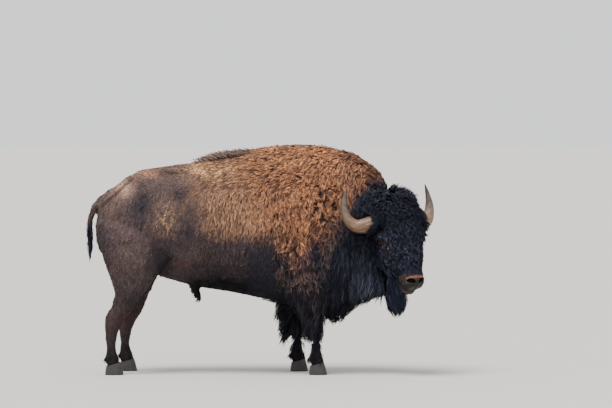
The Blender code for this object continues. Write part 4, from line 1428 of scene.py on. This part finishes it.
def hide_material():
    s = Shader("hide")
    tone, wet = s.attribute("tint")
    hair = s.noise(0.0045, (1.0, 1.0, 0.20), 2.0)
    locks = s.noise(0.013, (1.0, 1.0, 0.28), 3.0, 0.6)
    patch = s.noise(0.060, detail=4.0)
    shade = s.times(s.remap(hair, 0.3, 0.7, 0.76, 1.24), s.remap(patch, 0.3, 0.7, 0.84, 1.16))
    shade = s.times(shade, s.remap(locks, 0.3, 0.7, 0.60, 1.40))
    pebbles = s.node("TexVoronoi", Vector=s.place(), Scale=420.0).outputs["Distance"]
    fur = s.plus(hair, s.times(locks, 2.0))
    fur, pebbles = (s.node("CombineColor", Red=height).outputs["Color"] for height in (fur, pebbles))
    s.bump(s.split(s.blend(fur, pebbles, wet))[0], 0.7, 0.004)
    gloss = s.remap(wet, 0.0, 1.0, 0.68, 0.40)
    return s.finish(s.scaled(tone, shade), gloss, s.remap(wet, 0.0, 1.0, 0.08, 0.27))


HORN_STOPS = (
    (0.0, rgba(48, 36, 30)), (0.20, rgba(105, 73, 50)), (0.45, rgba(107, 79, 57)),
    (0.66, rgba(88, 73, 62)), (0.86, rgba(66, 60, 59)), (1.0, rgba(36, 34, 37)),
)


def horn_material():
    s = Shader("keratin")
    along, cos, sin = s.split(s.attribute("lay")[0])
    fibre = s.texture(s.joined(s.times(along, 2.2), s.times(cos, 6.0), s.times(sin, 6.0)), 4.0, 6.0, 0.65)
    bands = s.texture(s.joined(s.times(along, 60.0), cos, sin), 1.0, 3.0)
    shades = s.node("ValToRGB", Fac=along)
    elements = shades.color_ramp.elements
    for index, (at, colour) in enumerate(HORN_STOPS):
        element = elements[index] if index < 2 else elements.new(at)
        element.position, element.color = at, colour
    streaked = s.blend(shades.outputs["Color"], rgba(36, 28, 26), s.remap(fibre, 0.46, 0.62, 0.0, 0.85))
    streaked = s.blend(streaked, rgba(186, 152, 118), s.remap(fibre, 0.45, 0.30, 0.0, 0.6))
    colour = s.scaled(streaked, s.remap(bands, 0.3, 0.7, 0.82, 1.15))
    s.bump(s.plus(fibre, s.times(bands, 0.7)), 0.7, 0.0025)
    return s.finish(colour, s.remap(fibre, 0.3, 0.7, 0.38, 0.60), 0.45)


def hoof_material():
    s = Shader("hoof_horn")
    rings = s.noise(0.006, (0.15, 0.15, 1.0), 2.0)
    wear = s.noise(0.03)
    worn = s.times(s.remap(rings, 0.4, 0.7, 0.0, 0.8), wear)
    colour = s.blend(rgba(30, 27, 27), rgba(62, 54, 49), worn)
    s.bump(rings, 0.4, 0.002)
    return s.finish(colour, s.remap(wear, 0.3, 0.7, 0.45, 0.70))


def eye_material():
    s = Shader("eyeball")
    u, v, _ = s.split(s.attribute("gaze")[0])
    u, v = (s.remap(part, 0.0, 1.0, -1.0, 1.0) for part in (u, v))
    from_axis = s.math("SQRT", s.plus(s.times(u, u), s.times(v, v)))
    slot = s.math("SQRT", s.plus(s.times(s.times(u, u), 0.30), s.times(s.times(v, v), 1.6)))
    fibre = s.noise(0.0012)
    iris = s.blend(rgba(16, 11, 9), rgba(34, 22, 15), fibre)
    ball = s.blend(iris, rgba(30, 25, 25), s.remap(from_axis, 0.80, 0.92, 0.0, 1.0))
    colour = s.blend(rgba(8, 7, 9), ball, s.remap(slot, 0.15, 0.22, 0.0, 1.0))
    return s.finish(colour, s.remap(fibre, 0.3, 0.7, 0.07, 0.12), 0.12)


def paint_skin(skin, material):
    mesh = skin.data
    p = coordinates(mesh)
    along, out, _ = in_head(p)
    wet = head_share(p) * ramp(along, 0.485, 0.505) * ramp(out, -0.085, -0.07) * (1 - nose_rim(p))
    # The skin is painted darker than the hair's tips, as the shade deep in the coat
    tint = np.concatenate([markings(p) * 0.65, wet[:, None]], -1)
    # Painted shade deep in the nostrils
    tint[:, :3] = mix(tint[:, :3], NOSE * 0.15, inside_nostril[0])
    # Under the wool and the ribs' coat the skin is darker still: painted shade between the locks
    hair = regions(p)
    woolly = np.clip(hair["wool"] + hair["ringlets"] + hair["ribs"] * 0.7, 0, 1)
    tint[:, :3] = mix(tint[:, :3], np.minimum(tint[:, :3], ROOT * 0.8), woolly)
    give_attribute(mesh, "tint", tint)
    mesh.materials.append(material)


# The scene round it


FLOOR_HALF = 400
FLOOR_TONE = 0.42, 0.415, 0.40, 1


def make_floor():
    mesh = bpy.data.meshes.new("floor")
    with edited(mesh) as bm:
        bmesh.ops.create_grid(bm, x_segments=1, y_segments=1, size=FLOOR_HALF)
    mesh.materials.append(Shader("floor").finish(FLOOR_TONE, 0.9))
    floor = new_object("floor", mesh)


def area_light(name, place, target, size, power, tint):
    data = bpy.data.lights.new(name, "AREA")
    data.shape, data.size, data.energy, data.color = "DISK", size, power, tint
    light = new_object(name, data)
    light.location = place
    light.rotation_euler = (Vector(target) - Vector(place)).to_track_quat("-Z", "Y").to_euler()


TO_SUN = -0.30, -0.30, 1.0


def make_lights():
    data = bpy.data.lights.new("key", "SUN")
    data.energy, data.angle, data.color = 6.2, math.radians(30), (1.0, 0.96, 0.90)
    new_object("key", data).rotation_euler = Vector(TO_SUN).to_track_quat("Z", "Y").to_euler()
    area_light("fill", (5.0, -9.0, 4.0), (0, 0, 0.9), 6.0, 250, (0.92, 0.96, 1.0))
    world = bpy.data.worlds.new("studio")
    bpy.context.scene.world = world
    world.use_nodes = True
    back = world.node_tree.nodes["Background"]
    back.inputs["Color"].default_value = (0.972, 0.983, 0.985, 1)
    back.inputs["Strength"].default_value = 1.25


CAMERA_DISTANCE = 22.0
VIEW_WIDTH = 4.737
LOOK_DOWN = math.radians(1.36)


SENSOR = 36


def make_camera():
    target = np.array([0.356 + SHIFT[0], SHIFT[1], 1.308])
    toward = np.array([0, -math.cos(LOOK_DOWN), math.sin(LOOK_DOWN)])
    data = bpy.data.cameras.new("camera")
    data.sensor_width = SENSOR
    data.lens = SENSOR * CAMERA_DISTANCE / VIEW_WIDTH
    data.clip_end = 1000
    camera = new_object("camera", data)
    camera.location = target + toward * CAMERA_DISTANCE
    camera.rotation_euler = (math.pi / 2 - LOOK_DOWN, 0, 0)
    bpy.context.scene.camera = camera


def main():
    flesh = [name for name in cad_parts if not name.startswith(("horn", "eye")) and "hoof" not in name]
    skin = make_skin(flesh)
    paint_skin(skin, hide_material())
    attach(skin, "root")
    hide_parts(*flesh)
    grow_coat(skin)
    coat = coat_material()
    for name, groups in sorted(coat_pieces.items()):
        build_coat_piece(name, groups, coat)
    keratin, ball = horn_material(), eye_material()
    for name, side in SIDES:
        make_horn(name, side, keratin)
        make_eye(name, side, ball)
    hoof = hoof_material()
    for name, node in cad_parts.items():
        if "hoof" in name:
            for index in range(len(node.material_slots)):
                node.material_slots[index].material = hoof
    make_floor()
    make_lights()
    make_camera()


main()
